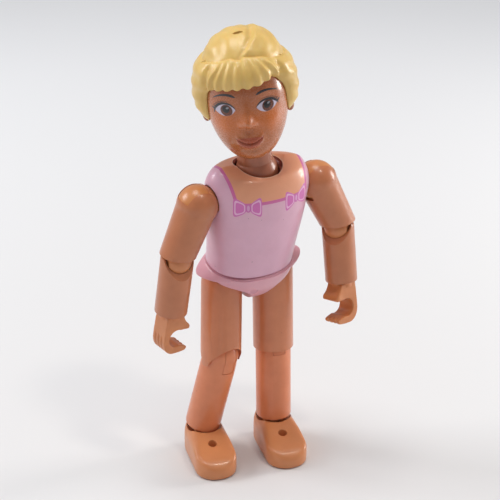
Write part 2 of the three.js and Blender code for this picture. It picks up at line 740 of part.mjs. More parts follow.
function makeHead() {
  const nose = ball(1, [0, 0, 0], 12, 8).scale([1.6, 2, 2.6]).rotate([-12, 0, 0])
    .translate([0, -headHalfDepth - 0.1, -2.6]);
  const shape = headForm(0).add(nose);
  const axisY = -headForward;
  const socketTop = -headCentreUp + 10;
  const socket = rod(neckRadius + gap, 10, 'z', [0, axisY, socketTop - 5 + gap], 24);
  const plugTop = -headCentreUp + 15 + gap;
  const plugHole = turned([
    [0, socketTop - 1], [neckRadius + gap, socketTop - 1], [neckRadius + gap, socketTop + gap * 0.6],
    [neckRadius - 1.4 + gap, socketTop + 2 + gap * 0.6], [neckRadius - 1.4 + gap, plugTop], [0, plugTop],
  ], 'z', 24).translate([0, axisY, 0]);
  return shape.subtract(socket).subtract(plugHole);
}

function hairPoint(point) {
  const { x, y, z } = point.clone().normalize();
  const level = hypot(x, y);
  const even = atan2(x, -y);
  const around = even - 0.5 * sin(even);
  const aside = abs(around) / degrees;
  const height = (z > 0 ? hairTop - hairMiddle : hairMiddle - hairBottom + hairTuck) * z + hairMiddle;
  const groove = grooveHeight - grooveFall * smooth(5, 95, aside) - grooveTilt * sin(around);
  const down = groove - height;
  const inFront = smooth(fringeHalfAngle + 3, fringeHalfAngle - 4, aside);
  const fringeShare = min(1, max(0, down / (groove - fringeLow)));
  const fan = mixed(0.72, 1.04, smooth(0, 0.9, fringeShare));
  const rib = abs(sin((PI * (around / degrees + 2)) / (fan * lockSpan))) ** 0.65;
  const fringe = rollHeight * sin(PI * min(1, 0.05 + 0.9 * fringeShare)) ** 0.7
    + lockHeight * (rib - 0.65) * smooth(0.02, 0.3, fringeShare);
  const wave = 0.5 + 0.5 * sin((2 * PI * (height + 0.045 * aside)) / 3.3);
  const sideRoll = rollHeight * smooth(0, 2.4, down) * smooth(26, 8, down)
    + (lockHeight * wave - 0.25) * smooth(1.5, 4.5, down);
  const valley = rollHeight * exp(-(((aside - 50) / 3.4) ** 2)) * smooth(0, 1.5, down);
  const across = sin(around) * hairHalfWidth * level;
  const back = hairBack - cos(around) * hairHalfDepth * level;
  const off = across - partingAt(back);
  const parting = partingHeight * smooth(-0.6, 0.8, off) * exp(-max(0, off) / 5.5) * smooth(9, 3, back);
  const crown = parting - crownInset * smooth(4.5, 0.4, -down) * (0.45 + 0.55 * smooth(20, 60, aside));
  const below = mixed(sideRoll, fringe, inFront) - valley;
  const relief = mixed(crown, below, smooth(-0.4, 0.4, down)) * smooth(0.02, 0.3, level);
  const out = new THREE.Vector3(
    across / hairHalfWidth ** 2, (back - hairBack) / hairHalfDepth ** 2, (height - hairMiddle) / (hairTop - hairMiddle) ** 2,
  ).normalize();
  point.set(across, back, height).addScaledVector(out, relief);
}

// Across place of the crown's parting, which runs in a soft S from the back to the fringe
function partingAt(back) {
  return -0.5 + 4.3 * smooth(-11, -4, back) - 1.5 * smooth(3, 9, back);
}

function makeHair() {
  const outer = solid(warp(new THREE.SphereGeometry(1, 80, 28).rotateX(PI / 2), hairPoint));
  const inner = headForm(gap);
  const far = 40;
  const below = box([-far, -far, -far], [far, far, hairBottom]);
  const arch = [];
  const archSteps = 18;
  for (let i = 0; i <= archSteps; i += 1) {
    const x = mixed(faceHalf - 1.4, -faceHalf + 1.4, i / archSteps);
    const ripple = 0.35 * abs(sin((PI * (asin(x / hairHalfDepth) / degrees + 2)) / lockSpan));
    arch.push([x, fringeLow - ripple + 0.9 * (x / faceHalf) ** 2]);
  }
  const face = plate([[-faceHalf, -far], [faceHalf, -far], [faceHalf, 4.6], ...arch, [-faceHalf, 4.6]], -far, lockFront, 'y');
  const sideFront = plate([
    [-far, -far], [lockFront - 0.6, -far], [lockFront - 0.6, -1], [lockFront - 3, 3], [lockFront - 5, 6], [-far, 6],
  ], -far, far, 'x');
  const crownSlot = box([-1.5, -2.2, hairTop - 2.6], [1.5, -1.2, hairTop + 4]);
  return outer.subtract(inner).subtract(below).subtract(face).subtract(sideFront).subtract(crownSlot)
    .simplify(hairTolerance);
}

// The doll
const doll = new THREE.Group();
doll.name = 'doll';

// Vector from a hip to its ankle in the standing pose, in the doll's upright frame
function legReach(side, pose) {
  const flex = new THREE.Matrix4().makeRotationX(-pose.flex * degrees);
  const spread = new THREE.Matrix4().makeRotationY(-side * pose.spread * degrees);
  const turn = new THREE.Matrix4().makeRotationZ(pose.turn * degrees);
  const knee = new THREE.Matrix4().makeRotationX(pose.knee * degrees);
  const reach = new THREE.Vector3(0, 0, -(kneeToShinEnd - ankleAboveShinEnd)).applyMatrix4(knee);
  reach.z -= kneeDepth;
  return reach.applyMatrix4(turn).applyMatrix4(spread).applyMatrix4(flex);
}

// The pelvis tips sideways and settles at the height where both soles lie flat
const leftDrop = -legReach(1, legPose.left).z;
const rightDrop = -legReach(-1, legPose.right).z;
const sideTip = asin((rightDrop - leftDrop) / hipSpacing);
const hipHeight = ankleHeight + (leftDrop + rightDrop) / 2;

const body = frameIn(doll, 'body_frame', [0, 0, hipHeight]);
body.rotation.set(lean * degrees, sideTip, 0, 'YXZ');
body.add(piece('pelvis', makePelvis(), suitPink));

const waist = frameIn(body, 'waist_frame', [0, 0, waistAboveHips + waistPlay]);
waist.rotation.y = waistTip * degrees;
waist.add(piece('waist_post', makeWaistPost(), suitPink));
const torso = frameIn(waist, 'torso_frame');
torso.rotation.z = waistTurn * degrees;
torso.add(piece('torso_front', torsoShell(true), suitPink));
torso.add(piece('torso_back', torsoShell(false), suitPink));

for (const [name, side] of [['right', -1], ['left', 1]]) {
  const pose = legPose[name];
  const hip = frameIn(body, `${name}_hip_flex_frame`, [side * hipSpacing / 2, 0, 0]);
  hip.rotation.x = -(pose.flex + lean) * degrees;
  hip.add(piece(`hip_link_${name}`, makeHipLink(side), pinGrey));
  const spread = frameIn(hip, `${name}_hip_spread_frame`);
  spread.rotation.y = -side * pose.spread * degrees - sideTip;
  spread.add(piece(`hip_peg_${name}`, makeHipPeg(side), pinGrey));
  const thigh = frameIn(spread, `${name}_hip_turn_frame`);
  thigh.rotation.z = pose.turn * degrees;
  thigh.add(piece(`thigh_${name}`, makeThigh(side, name === 'right'), skin));
  const shin = frameIn(thigh, `${name}_knee_frame`, [0, 0, -kneeDepth]);
  const kneePin = piece(`knee_pin_${name}`, makePin(2 * thighRimRadius - 0.4), pinGrey);
  kneePin.position.z = -kneeDepth;
  thigh.add(kneePin);
  shin.rotation.x = pose.knee * degrees;
  shin.add(piece(`shin_${name}`, makeShin(), skin));
  shin.add(piece(`knee_tongue_${name}`, makeKneeTongue(), skinWarm));
  const ankle = frameIn(shin, `${name}_ankle_frame`, [0, 0, -(kneeToShinEnd - ankleAboveShinEnd)]);
  ankle.rotation.z = (pose.footYaw - pose.turn) * degrees;
  ankle.add(piece(`ankle_link_${name}`, makeAnkleLink(), pinGrey));
  doll.updateMatrixWorld(true);
  const place = ankle.getWorldPosition(new THREE.Vector3());
  const foot = frameIn(doll, `${name}_foot_frame`, [place.x, place.y, ankleHeight]);
  foot.rotation.z = pose.footYaw * degrees;
  foot.add(piece(`foot_${name}`, makeFoot(), skinWarm));
  foot.add(piece(`ankle_pin_${name}`, makePin(2 * (eyeHalfWidth + cheekPlay + cheekWidth) - 0.2), pinGrey));
}

for (const [name, side] of [['right', -1], ['left', 1]]) {
  const pose = armPose[name];
  const shoulder = frameIn(torso, `${name}_shoulder_swing_frame`,
    [side * shoulderHalfSpan, shoulderBack, shoulderUp]);
  shoulder.rotation.x = -(pose.swing + lean) * degrees;
  shoulder.add(piece(`shoulder_knuckle_${name}`, makeShoulderKnuckle(side), skinWarm));
  const arm = frameIn(shoulder, `${name}_shoulder_raise_frame`);
  arm.rotation.y = -side * pose.raise * degrees;
  arm.add(piece(`upper_arm_${name}`, makeUpperArm(side, pose), skin));
  const shoulderPin = piece(`shoulder_pin_${name}`, makePin(2 * shoulderRadius - 1.2), pinGrey);
  shoulderPin.rotation.z = PI / 2;
  arm.add(shoulderPin);
  const elbow = frameIn(arm, `${name}_elbow_swivel_frame`, [0, 0, -upperArmLength]);
  elbow.rotation.set(0, side * elbowSlant(pose) * degrees, pose.swivel * degrees, 'XYZ');
  elbow.add(piece(`elbow_knuckle_${name}`, makeElbowKnuckle(), skinWarm));
  const forearm = frameIn(elbow, `${name}_elbow_bend_frame`, [0, 0, -elbowBelowRim]);
  forearm.rotation.x = -pose.bend * degrees;
  forearm.add(piece(`forearm_${name}`, makeForearm(), skin));
  forearm.add(piece(`elbow_pin_${name}`, makePin(2 * forearmRadius - 0.6), pinGrey));
  const hand = frameIn(forearm, `${name}_wrist_frame`, [0, 0, -forearmLength - 0.4]);
  hand.rotation.z = pose.handTurn * degrees + (side > 0 ? PI : 0);
  hand.add(piece(`hand_${name}`, makeHand(), skinWarm));
}

const neckTurn = frameIn(torso, 'neck_turn_frame', [0, neckBack, neckBallUp]);
neckTurn.rotation.z = headPose.turn * degrees;
neckTurn.add(piece('neck_seat', makeNeckSeat(), skinDark));
const neckNod = frameIn(neckTurn, 'neck_nod_frame');
neckNod.rotation.x = headPose.nod * degrees;
neckNod.add(piece('neck_link', ball(neckLinkRadius, [0, 0, 0], 16, 10), skinDark));
const neckTilt = frameIn(neckNod, 'neck_tilt_frame');
neckTilt.rotation.y = headPose.tilt * degrees;
neckTilt.add(piece('neck', makeNeck(), skinDark));
const head = frameIn(neckTilt, 'head_frame', [0, headForward, headCentreUp]);
head.add(piece('head', makeHead(), skin));
head.add(piece('hair', makeHair(), hairYellow, 0.35));

// The origin is under the middle of the doll, on the surface that it stands on
doll.updateMatrixWorld(true);
const bounds = new THREE.Box3().setFromObject(doll, true);
doll.position.set(-(bounds.min.x + bounds.max.x) / 2, -(bounds.min.y + bounds.max.y) / 2, -bounds.min.z);
doll.updateMatrixWorld(true);

export default doll;
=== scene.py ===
"""A jointed miniature doll of moulded plastic, dressed over its CAD frame. Shapes are in millimetres."""

import bmesh
import bpy
import json
from math import acos, atan2, cos, degrees, exp, hypot, pi, radians, sin, sqrt, tan
from mathutils import Matrix, Vector


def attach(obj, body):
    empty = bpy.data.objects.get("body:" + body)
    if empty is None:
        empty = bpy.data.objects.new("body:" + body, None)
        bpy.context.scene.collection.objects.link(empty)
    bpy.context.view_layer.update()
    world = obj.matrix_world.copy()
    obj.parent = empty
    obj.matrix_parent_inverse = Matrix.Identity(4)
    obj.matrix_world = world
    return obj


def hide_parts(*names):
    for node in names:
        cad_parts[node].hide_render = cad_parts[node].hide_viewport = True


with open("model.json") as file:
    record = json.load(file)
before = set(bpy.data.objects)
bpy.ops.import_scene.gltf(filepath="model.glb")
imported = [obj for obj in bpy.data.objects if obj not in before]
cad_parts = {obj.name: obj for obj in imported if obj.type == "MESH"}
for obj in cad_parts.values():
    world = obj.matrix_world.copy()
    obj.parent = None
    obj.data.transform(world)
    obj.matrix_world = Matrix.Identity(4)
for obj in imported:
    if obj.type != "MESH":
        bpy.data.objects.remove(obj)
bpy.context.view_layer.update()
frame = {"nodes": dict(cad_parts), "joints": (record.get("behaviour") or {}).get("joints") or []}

MM = 0.001
SIDES = (("right", -1), ("left", 1))

# Sizes shared with the moulded parts of the frame
GAP = 0.3
THIGH = {
    "radius": 6.2, "length": 25.1, "knee_above_rim": 2.9, "wall": 0.5, "rim_edge": 0.3, "front_arch": 5.6,
    "back_arch": 8.0, "room": 0.25, "hip_cup": 4.9, "hip_slot": 3.9,
}
SHIN = {"radius": 5.45, "length": 26.4, "edge": 0.9, "ankle_above_end": 2.6, "wall": 0.8, "socket_depth": 6.8}
TONGUE = {"width": 3.9, "drop": 4.1, "seam": 0.07}
FOOT = {
    "width": 12.8, "heel_width": 12.4, "length": 26.0, "heel_back": 6.2, "toe": 6.0, "rim": 9.4,
    "ankle": 11.6, "hole": 1.38, "hole_forward": 9.9, "cup_gap": 0.45, "cheek_at": 2.4, "cheek": 1.3,
}
HIP_SPACING = 17.2
WAIST = {"up": 7.5, "half_width": 13.4, "half_depth": 10.2}
TORSO = {"height": 33.0, "chest_at": 20.0, "chest_width": 15.2, "chest_depth": 10.2, "shoulder_width": 16.6,
         "rim_width": 8.4, "rim_depth": 8.2, "hole_tilt": 10.0, "back_slope": 23.0}
SHOULDER = {"span": 19.5, "up": 23.2, "radius": 6.1, "disc": 5.9, "disc_width": 6.4, "shaft": 3.2}
UPPER_ARM = {"length": 16.0, "radius": 5.25}
ELBOW = {"below_rim": 2.0, "radius": 4.3, "width": 7.2, "stem": 2.4, "fold": 54.0}
FOREARM = {"radius": 4.9, "rim_radius": 4.85, "length": 16.8, "lean": 7.0}
WRIST_RADIUS = 3.3
HAND = {"length": 12.4, "thickness": 6.0, "grip_radius": 2.75, "grip": (1.3, -7.4)}
HAND_TURN = {"right": 10.0, "left": 245.0}
ARM_RAISE = {"right": 21.0, "left": 25.5}
NECK = {"hole_radius": 7.2, "ball_up": 29.2, "back": 2.3, "radius": 5.1, "ball_radius": 6.2}
HEAD_TILT = -13.0
HEAD = {"up": 24.6, "forward": -1.4, "half_width": 11.7, "half_depth": 12.3, "top": 16.0, "chin": 17.8}


# Places and axes of the joints, which carry every piece
JOINTS = {joint["name"]: joint for joint in frame["joints"]}


def place_of(joint):
    return Vector(JOINTS[joint]["pos_m"])


def axis_of(joint):
    return Vector(JOINTS[joint]["axis"]).normalized()


def stand(at, x=None, y=None, z=None):
    """The matrix that takes a shape in millimetres to its place, from two of its axes."""
    if z is None:
        z = x.cross(y)
    if x is None:
        x = y.cross(z)
    y = z.cross(x).normalized()
    x = y.cross(z).normalized()
    turn = Matrix((x, y, z.normalized())).transposed()
    return Matrix.Translation(at) @ turn.to_4x4() @ Matrix.Scale(MM, 4)


# Shapes
def turned(points, sides=72, axis="Z", at=(0, 0, 0)):
    """A turned solid from points of radius and height."""
    bm = bmesh.new()
    verts = [bm.verts.new((radius, 0, height)) for radius, height in points]
    edges = [bm.edges.new(pair) for pair in zip(verts, verts[1:])]
    bmesh.ops.spin(
        bm, geom=verts + edges, cent=(0, 0, 0), axis=(0, 0, 1), dvec=(0, 0, 0),
        angle=2 * pi, steps=sides, use_merge=True,
    )
    bmesh.ops.remove_doubles(bm, verts=bm.verts, dist=1e-4)
    bmesh.ops.recalc_face_normals(bm, faces=bm.faces)
    return settled(bm, axis, at)


def settled(bm, axis="Z", at=(0, 0, 0)):
    turns = {
        "X": Matrix.Rotation(pi / 2, 4, "Y"),
        "Y": Matrix.Rotation(-pi / 2, 4, "X"),
        "Z": Matrix.Identity(4),
    }
    bmesh.ops.transform(bm, matrix=Matrix.Translation(at) @ turns[axis], verts=bm.verts)
    return bm


def rod(radius, length, axis="Z", at=(0, 0, 0), sides=48):
    bm = bmesh.new()
    bmesh.ops.create_cone(bm, cap_ends=True, segments=sides, radius1=radius, radius2=radius, depth=length)
    return settled(bm, axis, at)


def ball(radius, at=(0, 0, 0), around=56, up=32):
    bm = bmesh.new()
    bmesh.ops.create_uvsphere(bm, u_segments=around, v_segments=up, radius=radius)
    return settled(bm, "Z", at)


def block(low, high):
    bm = bmesh.new()
    bmesh.ops.create_cube(bm, size=1)
    size = [b - a for a, b in zip(low, high)]
    middle = [(a + b) / 2 for a, b in zip(low, high)]
    bmesh.ops.transform(bm, matrix=Matrix.Translation(middle) @ Matrix.Diagonal((*size, 1)), verts=bm.verts)
    return bm


def plate(points, start, end, axis):
    """An outline swept square to its plane: X gives outlines in YZ, Y in XZ and Z in XY."""
    bm = bmesh.new()
    lays = {"X": lambda a, b: (start, a, b), "Y": lambda a, b: (a, start, b), "Z": lambda a, b: (a, b, start)}
    lay = lays[axis]
    face = bm.faces.new([bm.verts.new(lay(a, b)) for a, b in points])
    swept = bmesh.ops.extrude_face_region(bm, geom=[face])
    moved = [part for part in swept["geom"] if isinstance(part, bmesh.types.BMVert)]
    step = Vector((0, 0, 0))
    step["XYZ".index(axis)] = end - start
    bmesh.ops.translate(bm, vec=step, verts=moved)
    bmesh.ops.recalc_face_normals(bm, faces=bm.faces)
    return bm


def stacked(levels, sides, section):
    """A solid whose level sections are rounded ovals, from t = 0 at the bottom to 1 at the top."""
    bm = bmesh.new()
    bmesh.ops.create_cone(bm, cap_ends=True, segments=sides, radius1=1, radius2=1, depth=1)
    upright = [edge for edge in bm.edges if abs(edge.verts[0].co.z - edge.verts[1].co.z) > 0.5]
    bmesh.ops.subdivide_edges(bm, edges=upright, cuts=levels - 1, use_grid_fill=True)
    for vert in bm.verts:
        form = section(vert.co.z + 0.5)
        angle = atan2(vert.co.y, vert.co.x)
        power = 2 / form.get("squareness", 2)
        x = form["half_width"] * abs(cos(angle)) ** power * (1 if cos(angle) >= 0 else -1)
        y = form["half_depth"] * abs(sin(angle)) ** power * (1 if sin(angle) >= 0 else -1)
        roll = form.get("roll", 0)
        middle = form["at"]
        vert.co = (
            middle[0] + x * cos(roll),
            middle[1] + y,
            middle[2] + x * sin(roll) + (form.get("dip", 0) if y < 0 else form.get("back_fall", 0)) * y,
        )
    return bm


def dome(radius, centre, start, end, steps):
    """Points of radius and height round part of a dome, between two angles in degrees."""
    angles = [radians(start + (end - start) * i / steps) for i in range(steps + 1)]
    return [(max(0, radius * cos(angle)), centre + radius * sin(angle)) for angle in angles]


def oval_points(half_width, half_height, centre, steps, start=0, end=360):
    last = steps if end - start == 360 else steps - 1
    angles = [radians(start + (end - start) * i / last) for i in range(steps)]
    return [(centre[0] + half_width * cos(a), centre[1] + half_height * sin(a)) for a in angles]


def mixed(a, b, t):
    return a + (b - a) * t


def smooth(low, high, value):
    t = min(1, max(0, (value - low) / (high - low)))
    return t * t * (3 - 2 * t)


def hill(value, middle, width):
    return exp(-(((value - middle) / width) ** 2))


def along(points, value):
    """A value read off points joined by straight lines."""
    if value <= points[0][0]:
        return points[0][1]
    for (a, at_a), (b, at_b) in zip(points, points[1:]):
        if value <= b:
            return mixed(at_a, at_b, (value - a) / (b - a))
    return points[-1][1]


def as_object(bm, name="shape"):
    mesh = bpy.data.meshes.new(name)
    bm.to_mesh(mesh)
    bm.free()
    thing = bpy.data.objects.new(name, mesh)
    bpy.context.scene.collection.objects.link(thing)
    return thing


def taken_up(thing, helpers=()):
    """The finished mesh of an object with modifiers, as a new bmesh. The object and its helpers go."""
    bpy.context.view_layer.update()
    finished = thing.evaluated_get(bpy.context.evaluated_depsgraph_get())
    mesh = bpy.data.meshes.new_from_object(finished)
    bm = bmesh.new()
    bm.from_mesh(mesh)
    bpy.data.meshes.remove(mesh)
    for used in (thing, *helpers):
        old = used.data
        bpy.data.objects.remove(used)
        bpy.data.meshes.remove(old)
    return bm


def carved(base, joined=(), away=(), kept=()):
    """Joins shapes to a base, cuts shapes away and keeps what lies inside others."""
    thing = as_object(base)
    helpers = []
    for operation, tools in (("UNION", joined), ("DIFFERENCE", away), ("INTERSECT", kept)):
        for tool in tools:
            helper = as_object(tool)
            modifier = thing.modifiers.new("carve", "BOOLEAN")
            modifier.operation = operation
            modifier.object = helper
            modifier.solver = "EXACT"
            helpers.append(helper)
    return taken_up(thing, helpers)


def softened(bm, voxel, rounds, factor=0.5):
    """One even skin over a shape, with its edges rounded as moulded plastic has them."""
    thing = as_object(bm)
    remesh = thing.modifiers.new("skin", "REMESH")
    remesh.mode = "VOXEL"
    remesh.voxel_size = voxel
    remesh.adaptivity = 0
    relax = thing.modifiers.new("relax", "SMOOTH")
    relax.factor = factor
    relax.iterations = rounds
    return taken_up(thing)


def spun(bm, angle, axis, centre=(0, 0, 0)):
    bmesh.ops.rotate(bm, cent=centre, matrix=Matrix.Rotation(radians(angle), 3, axis), verts=bm.verts)
    return bm


def moved(bm, step):
    bmesh.ops.translate(bm, vec=step, verts=bm.verts)
    return bm


def finish_piece(name, bm, matrix, body, nodes, material, edge=0.12, limit=28.0):
    """Rounds the edges, puts the piece in its place and lets it ride on its body."""
    thing = as_object(bm, name)
    if edge:
        rounding = thing.modifiers.new("edges", "BEVEL")
        rounding.width = edge
        rounding.segments = 2
        rounding.limit_method = "ANGLE"
        rounding.angle_limit = radians(limit)
        rounding.use_clamp_overlap = True
    bm = taken_up(thing)
    bmesh.ops.transform(bm, matrix=matrix, verts=bm.verts)
    for face in bm.faces:
        face.smooth = True
    thing = as_object(bm, name)
    thing.data.set_sharp_from_angle(angle=radians(34))
    thing.data.materials.clear()
    thing.data.materials.append(material)
    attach(thing, body)
    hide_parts(*nodes)
    return thing


# Material groups
def new_group(name, inputs, outputs):
    group = bpy.data.node_groups.new(name, "ShaderNodeTree")
    for label, kind, value in inputs:
        socket = group.interface.new_socket(label, in_out="INPUT", socket_type=kind)
        if value is not None:
            socket.default_value = value
    for label, kind in outputs:
        group.interface.new_socket(label, in_out="OUTPUT", socket_type=kind)
    start = group.nodes.new("NodeGroupInput")
    end = group.nodes.new("NodeGroupOutput")
    return group, start, end


class Desk:
    """Short ways to add nodes to one tree."""

    def __init__(self, tree):
        self.tree = tree

    def node(self, kind, **values):
        made = self.tree.nodes.new(kind)
        for key, value in values.items():
            setattr(made, key, value)
        return made

    def feed(self, socket, value):
        if isinstance(value, bpy.types.NodeSocket):
            self.tree.links.new(value, socket)
        else:
            socket.default_value = value

    def math(self, operation, *values, clamp=False):
        made = self.node("ShaderNodeMath", operation=operation, use_clamp=clamp)
        for socket, value in zip(made.inputs, values):
            self.feed(socket, value)
        return made.outputs[0]

    def plus(self, a, b, clamp=False):
        return self.math("ADD", a, b, clamp=clamp)

    def minus(self, a, b, clamp=False):
        return self.math("SUBTRACT", a, b, clamp=clamp)

    def times(self, first, *others):
        for other in others:
            first = self.math("MULTIPLY", first, other)
        return first

    def distance(self, a, b):
        return self.math("SQRT", self.plus(self.times(a, a), self.times(b, b)))

    def split(self, vector):
        made = self.node("ShaderNodeSeparateXYZ")
        self.feed(made.inputs[0], vector)
        return made.outputs

    def mix(self, mask, a, b):
        made = self.node("ShaderNodeMix", data_type="RGBA")
        self.feed(made.inputs["Factor"], mask)
        colours = [socket for socket in made.inputs if socket.type == "RGBA"]
        self.feed(colours[0], a)
        self.feed(colours[1], b)
        return [socket for socket in made.outputs if socket.type == "RGBA"][0]

    def ramp(self, value, low, high, start=0.0, end=1.0):
        made = self.node("ShaderNodeMapRange", interpolation_type="SMOOTHSTEP", clamp=True)
        ends = (("Value", value), ("From Min", low), ("From Max", high), ("To Min", start), ("To Max", end))
        for label, given in ends:
            self.feed(made.inputs[label], given)
        return made.outputs["Result"]

    def noise(self, vector, scale, detail=2.0, roughness=0.5):
        made = self.node("ShaderNodeTexNoise")
        self.feed(made.inputs["Vector"], vector)
        self.feed(made.inputs["Scale"], scale)
        self.feed(made.inputs["Detail"], detail)
        self.feed(made.inputs["Roughness"], roughness)
        return made.outputs["Fac"]

    def group(self, group, **values):
        made = self.node("ShaderNodeGroup", node_tree=group)
        for label, value in values.items():
            self.feed(made.inputs[label.replace("_", " ")], value)
        return made.outputs


def linear(red, green, blue):
    """An sRGB colour of 0 to 255 as the shader's linear one."""
    tones = [value / 255 for value in (red, green, blue)]
    return tuple(t / 12.92 if t <= 0.04045 else ((t + 0.055) / 1.055) ** 2.4 for t in tones) + (1.0,)


def moulded_plastic_group():
    """Colour drift, dust specks, faint flow marks and the fine unevenness of moulded plastic."""
    group, start, end = new_group(
        "moulded_plastic",
        [("Place", "NodeSocketVector", None), ("Colour", "NodeSocketColor", None),
         ("Deep", "NodeSocketColor", None), ("Drift", "NodeSocketFloat", 0.5),
         ("Specks", "NodeSocketFloat", 0.5), ("Roughness", "NodeSocketFloat", 0.35)],
        [("Colour", "NodeSocketColor"), ("Roughness", "NodeSocketFloat"), ("Height", "NodeSocketFloat")],
    )
    desk = Desk(group)
    place = start.outputs["Place"]
    broad = desk.noise(place, 0.16, 2.0)
    patch = desk.noise(place, 0.75, 3.0, 0.6)
    drift = desk.times(desk.ramp(broad, 0.3, 0.75), start.outputs["Drift"])
    patches = desk.times(desk.minus(patch, 0.5), 0.35)
    drift = desk.plus(drift, patches, clamp=True)
    colour = desk.mix(drift, start.outputs["Colour"], start.outputs["Deep"])
    cells = desk.node("ShaderNodeTexVoronoi")
    desk.feed(cells.inputs["Vector"], place)
    desk.feed(cells.inputs["Scale"], 0.55)
    speck_size = desk.ramp(desk.noise(place, 0.9), 0.56, 0.7, 0.0, 0.11)
    speck = desk.math("LESS_THAN", cells.outputs["Distance"], speck_size)
    speck = desk.times(speck, start.outputs["Specks"])
    dark = desk.mix(0.75, colour, (0.02, 0.015, 0.012, 1.0))
    colour = desk.mix(speck, colour, dark)
    rub = desk.noise(place, 2.2, 4.0, 0.65)
    rubbed = desk.times(desk.minus(rub, 0.5), 0.22)
    rough = desk.plus(start.outputs["Roughness"], rubbed)
    rough = desk.plus(rough, desk.times(speck, 0.3), clamp=True)
    peel = desk.noise(place, 1.3, 2.0)
    grain = desk.noise(place, 9.0, 3.0)
    height = desk.plus(desk.times(peel, 0.7), desk.times(grain, 0.12))
    desk.feed(end.inputs["Colour"], colour)
    desk.feed(end.inputs["Roughness"], rough)
    desk.feed(end.inputs["Height"], height)
    return group


def mask_group(name, inputs):
    """A group from plain numbers, given as label and default, to one mask."""
    numbers = [(label, "NodeSocketFloat", value) for label, value in inputs]
    group, start, end = new_group(name, numbers, [("Mask", "NodeSocketFloat")])
    return group, Desk(group), start.outputs, end.inputs["Mask"]


def painted_oval_group():
    """Mask of an oval print of given half sizes, turned by an angle."""
    group, desk, given, mask = mask_group("painted_oval", (
        ("Across", 0), ("Up", 0), ("Centre across", 0), ("Centre up", 0), ("Half width", 1),
        ("Half height", 1), ("Turn", 0), ("Softness", 0.08)))
    x = desk.minus(given["Across"], given["Centre across"])
    z = desk.minus(given["Up"], given["Centre up"])
    c = desk.math("COSINE", given["Turn"])
    s = desk.math("SINE", given["Turn"])
    u = desk.plus(desk.times(x, c), desk.times(z, s))
    v = desk.minus(desk.times(z, c), desk.times(x, s))
    u = desk.math("DIVIDE", u, given["Half width"])
    v = desk.math("DIVIDE", v, given["Half height"])
    reach = desk.distance(u, v)
    low = desk.minus(1.0, given["Softness"])
    high = desk.plus(1.0, given["Softness"])
    desk.feed(mask, desk.ramp(reach, low, high, 1.0, 0.0))
    return group


def painted_arc_group():
    """Mask of a brush stroke along a circle, thicker towards one end where it leans."""
    group, desk, given, mask = mask_group("painted_arc", (
        ("Across", 0), ("Up", 0), ("Centre across", 0), ("Centre up", 0), ("Radius", 1),
        ("Half thickness", 0.2), ("Middle across", 0), ("Half length", 1), ("Lean", 0)))
    x = desk.minus(given["Across"], given["Centre across"])
    z = desk.minus(given["Up"], given["Centre up"])
    reach = desk.distance(x, z)
    off = desk.math("ABSOLUTE", desk.minus(reach, given["Radius"]))
    from_middle = desk.minus(given["Across"], given["Middle across"])
    step = desk.math("DIVIDE", from_middle, given["Half length"])
    taper = desk.minus(1.0, desk.math("POWER", desk.math("ABSOLUTE", step), 5.0), clamp=True)
    lean = desk.plus(1.0, desk.times(step, given["Lean"]))
    width = desk.times(given["Half thickness"], taper, lean)
    soft = 0.06
    stroke = desk.ramp(off, desk.minus(width, soft), desk.plus(width, soft), 1.0, 0.0)
    above = desk.math("GREATER_THAN", z, 0.0)
    present = desk.math("GREATER_THAN", taper, 0.001)
    desk.feed(mask, desk.times(stroke, desk.times(above, present)))
    return group


def painted_almond_group():
    """Mask of the almond that two circles share, the lower rim of one and the upper rim of the other."""
    group, desk, given, mask = mask_group("painted_almond", (
        ("Across", 0), ("Up", 0), ("Upper across", 0), ("Upper up", 0), ("Upper radius", 1),
        ("Lower across", 0), ("Lower up", 0), ("Lower radius", 1), ("Softness", 0.06)))
    masks = []
    low = desk.times(given["Softness"], -1.0)
    for circle in ("Upper", "Lower"):
        x = desk.minus(given["Across"], given[f"{circle} across"])
        z = desk.minus(given["Up"], given[f"{circle} up"])
        reach = desk.distance(x, z)
        inside = desk.minus(given[f"{circle} radius"], reach)
        masks.append(desk.ramp(inside, low, given["Softness"]))
    desk.feed(mask, desk.times(*masks))
    return group


PLASTIC = moulded_plastic_group()
PAINTED_OVAL = painted_oval_group()
PAINTED_ARC = painted_arc_group()
PAINTED_ALMOND = painted_almond_group()


def new_material(name):
    material = bpy.data.materials.new(name)
    material.use_nodes = True
    material.node_tree.nodes.clear()
    return material, Desk(material.node_tree)


def own_place(desk, matrix):
    """Object coordinates turned into millimetres in the piece's own frame."""
    back = matrix.inverted()
    mapping = desk.node("ShaderNodeMapping", vector_type="POINT")
    mapping.inputs["Location"].default_value = back.translation
    mapping.inputs["Rotation"].default_value = back.to_euler("XYZ")
    mapping.inputs["Scale"].default_value = back.to_scale()
    coordinates = desk.node("ShaderNodeTexCoord")
    desk.feed(mapping.inputs["Vector"], coordinates.outputs["Object"])
    return mapping.outputs["Vector"]


def oval_painter(desk, x, z):
    """A function for the masks of ovals painted across the given two coordinates."""
    def oval(centre, half, turn=0.0, softness=0.06):
        return desk.group(
            PAINTED_OVAL, Across=x, Up=z, Centre_across=centre[0], Centre_up=centre[1],
            Half_width=half[0], Half_height=half[1], Turn=turn, Softness=softness)["Mask"]

    return oval


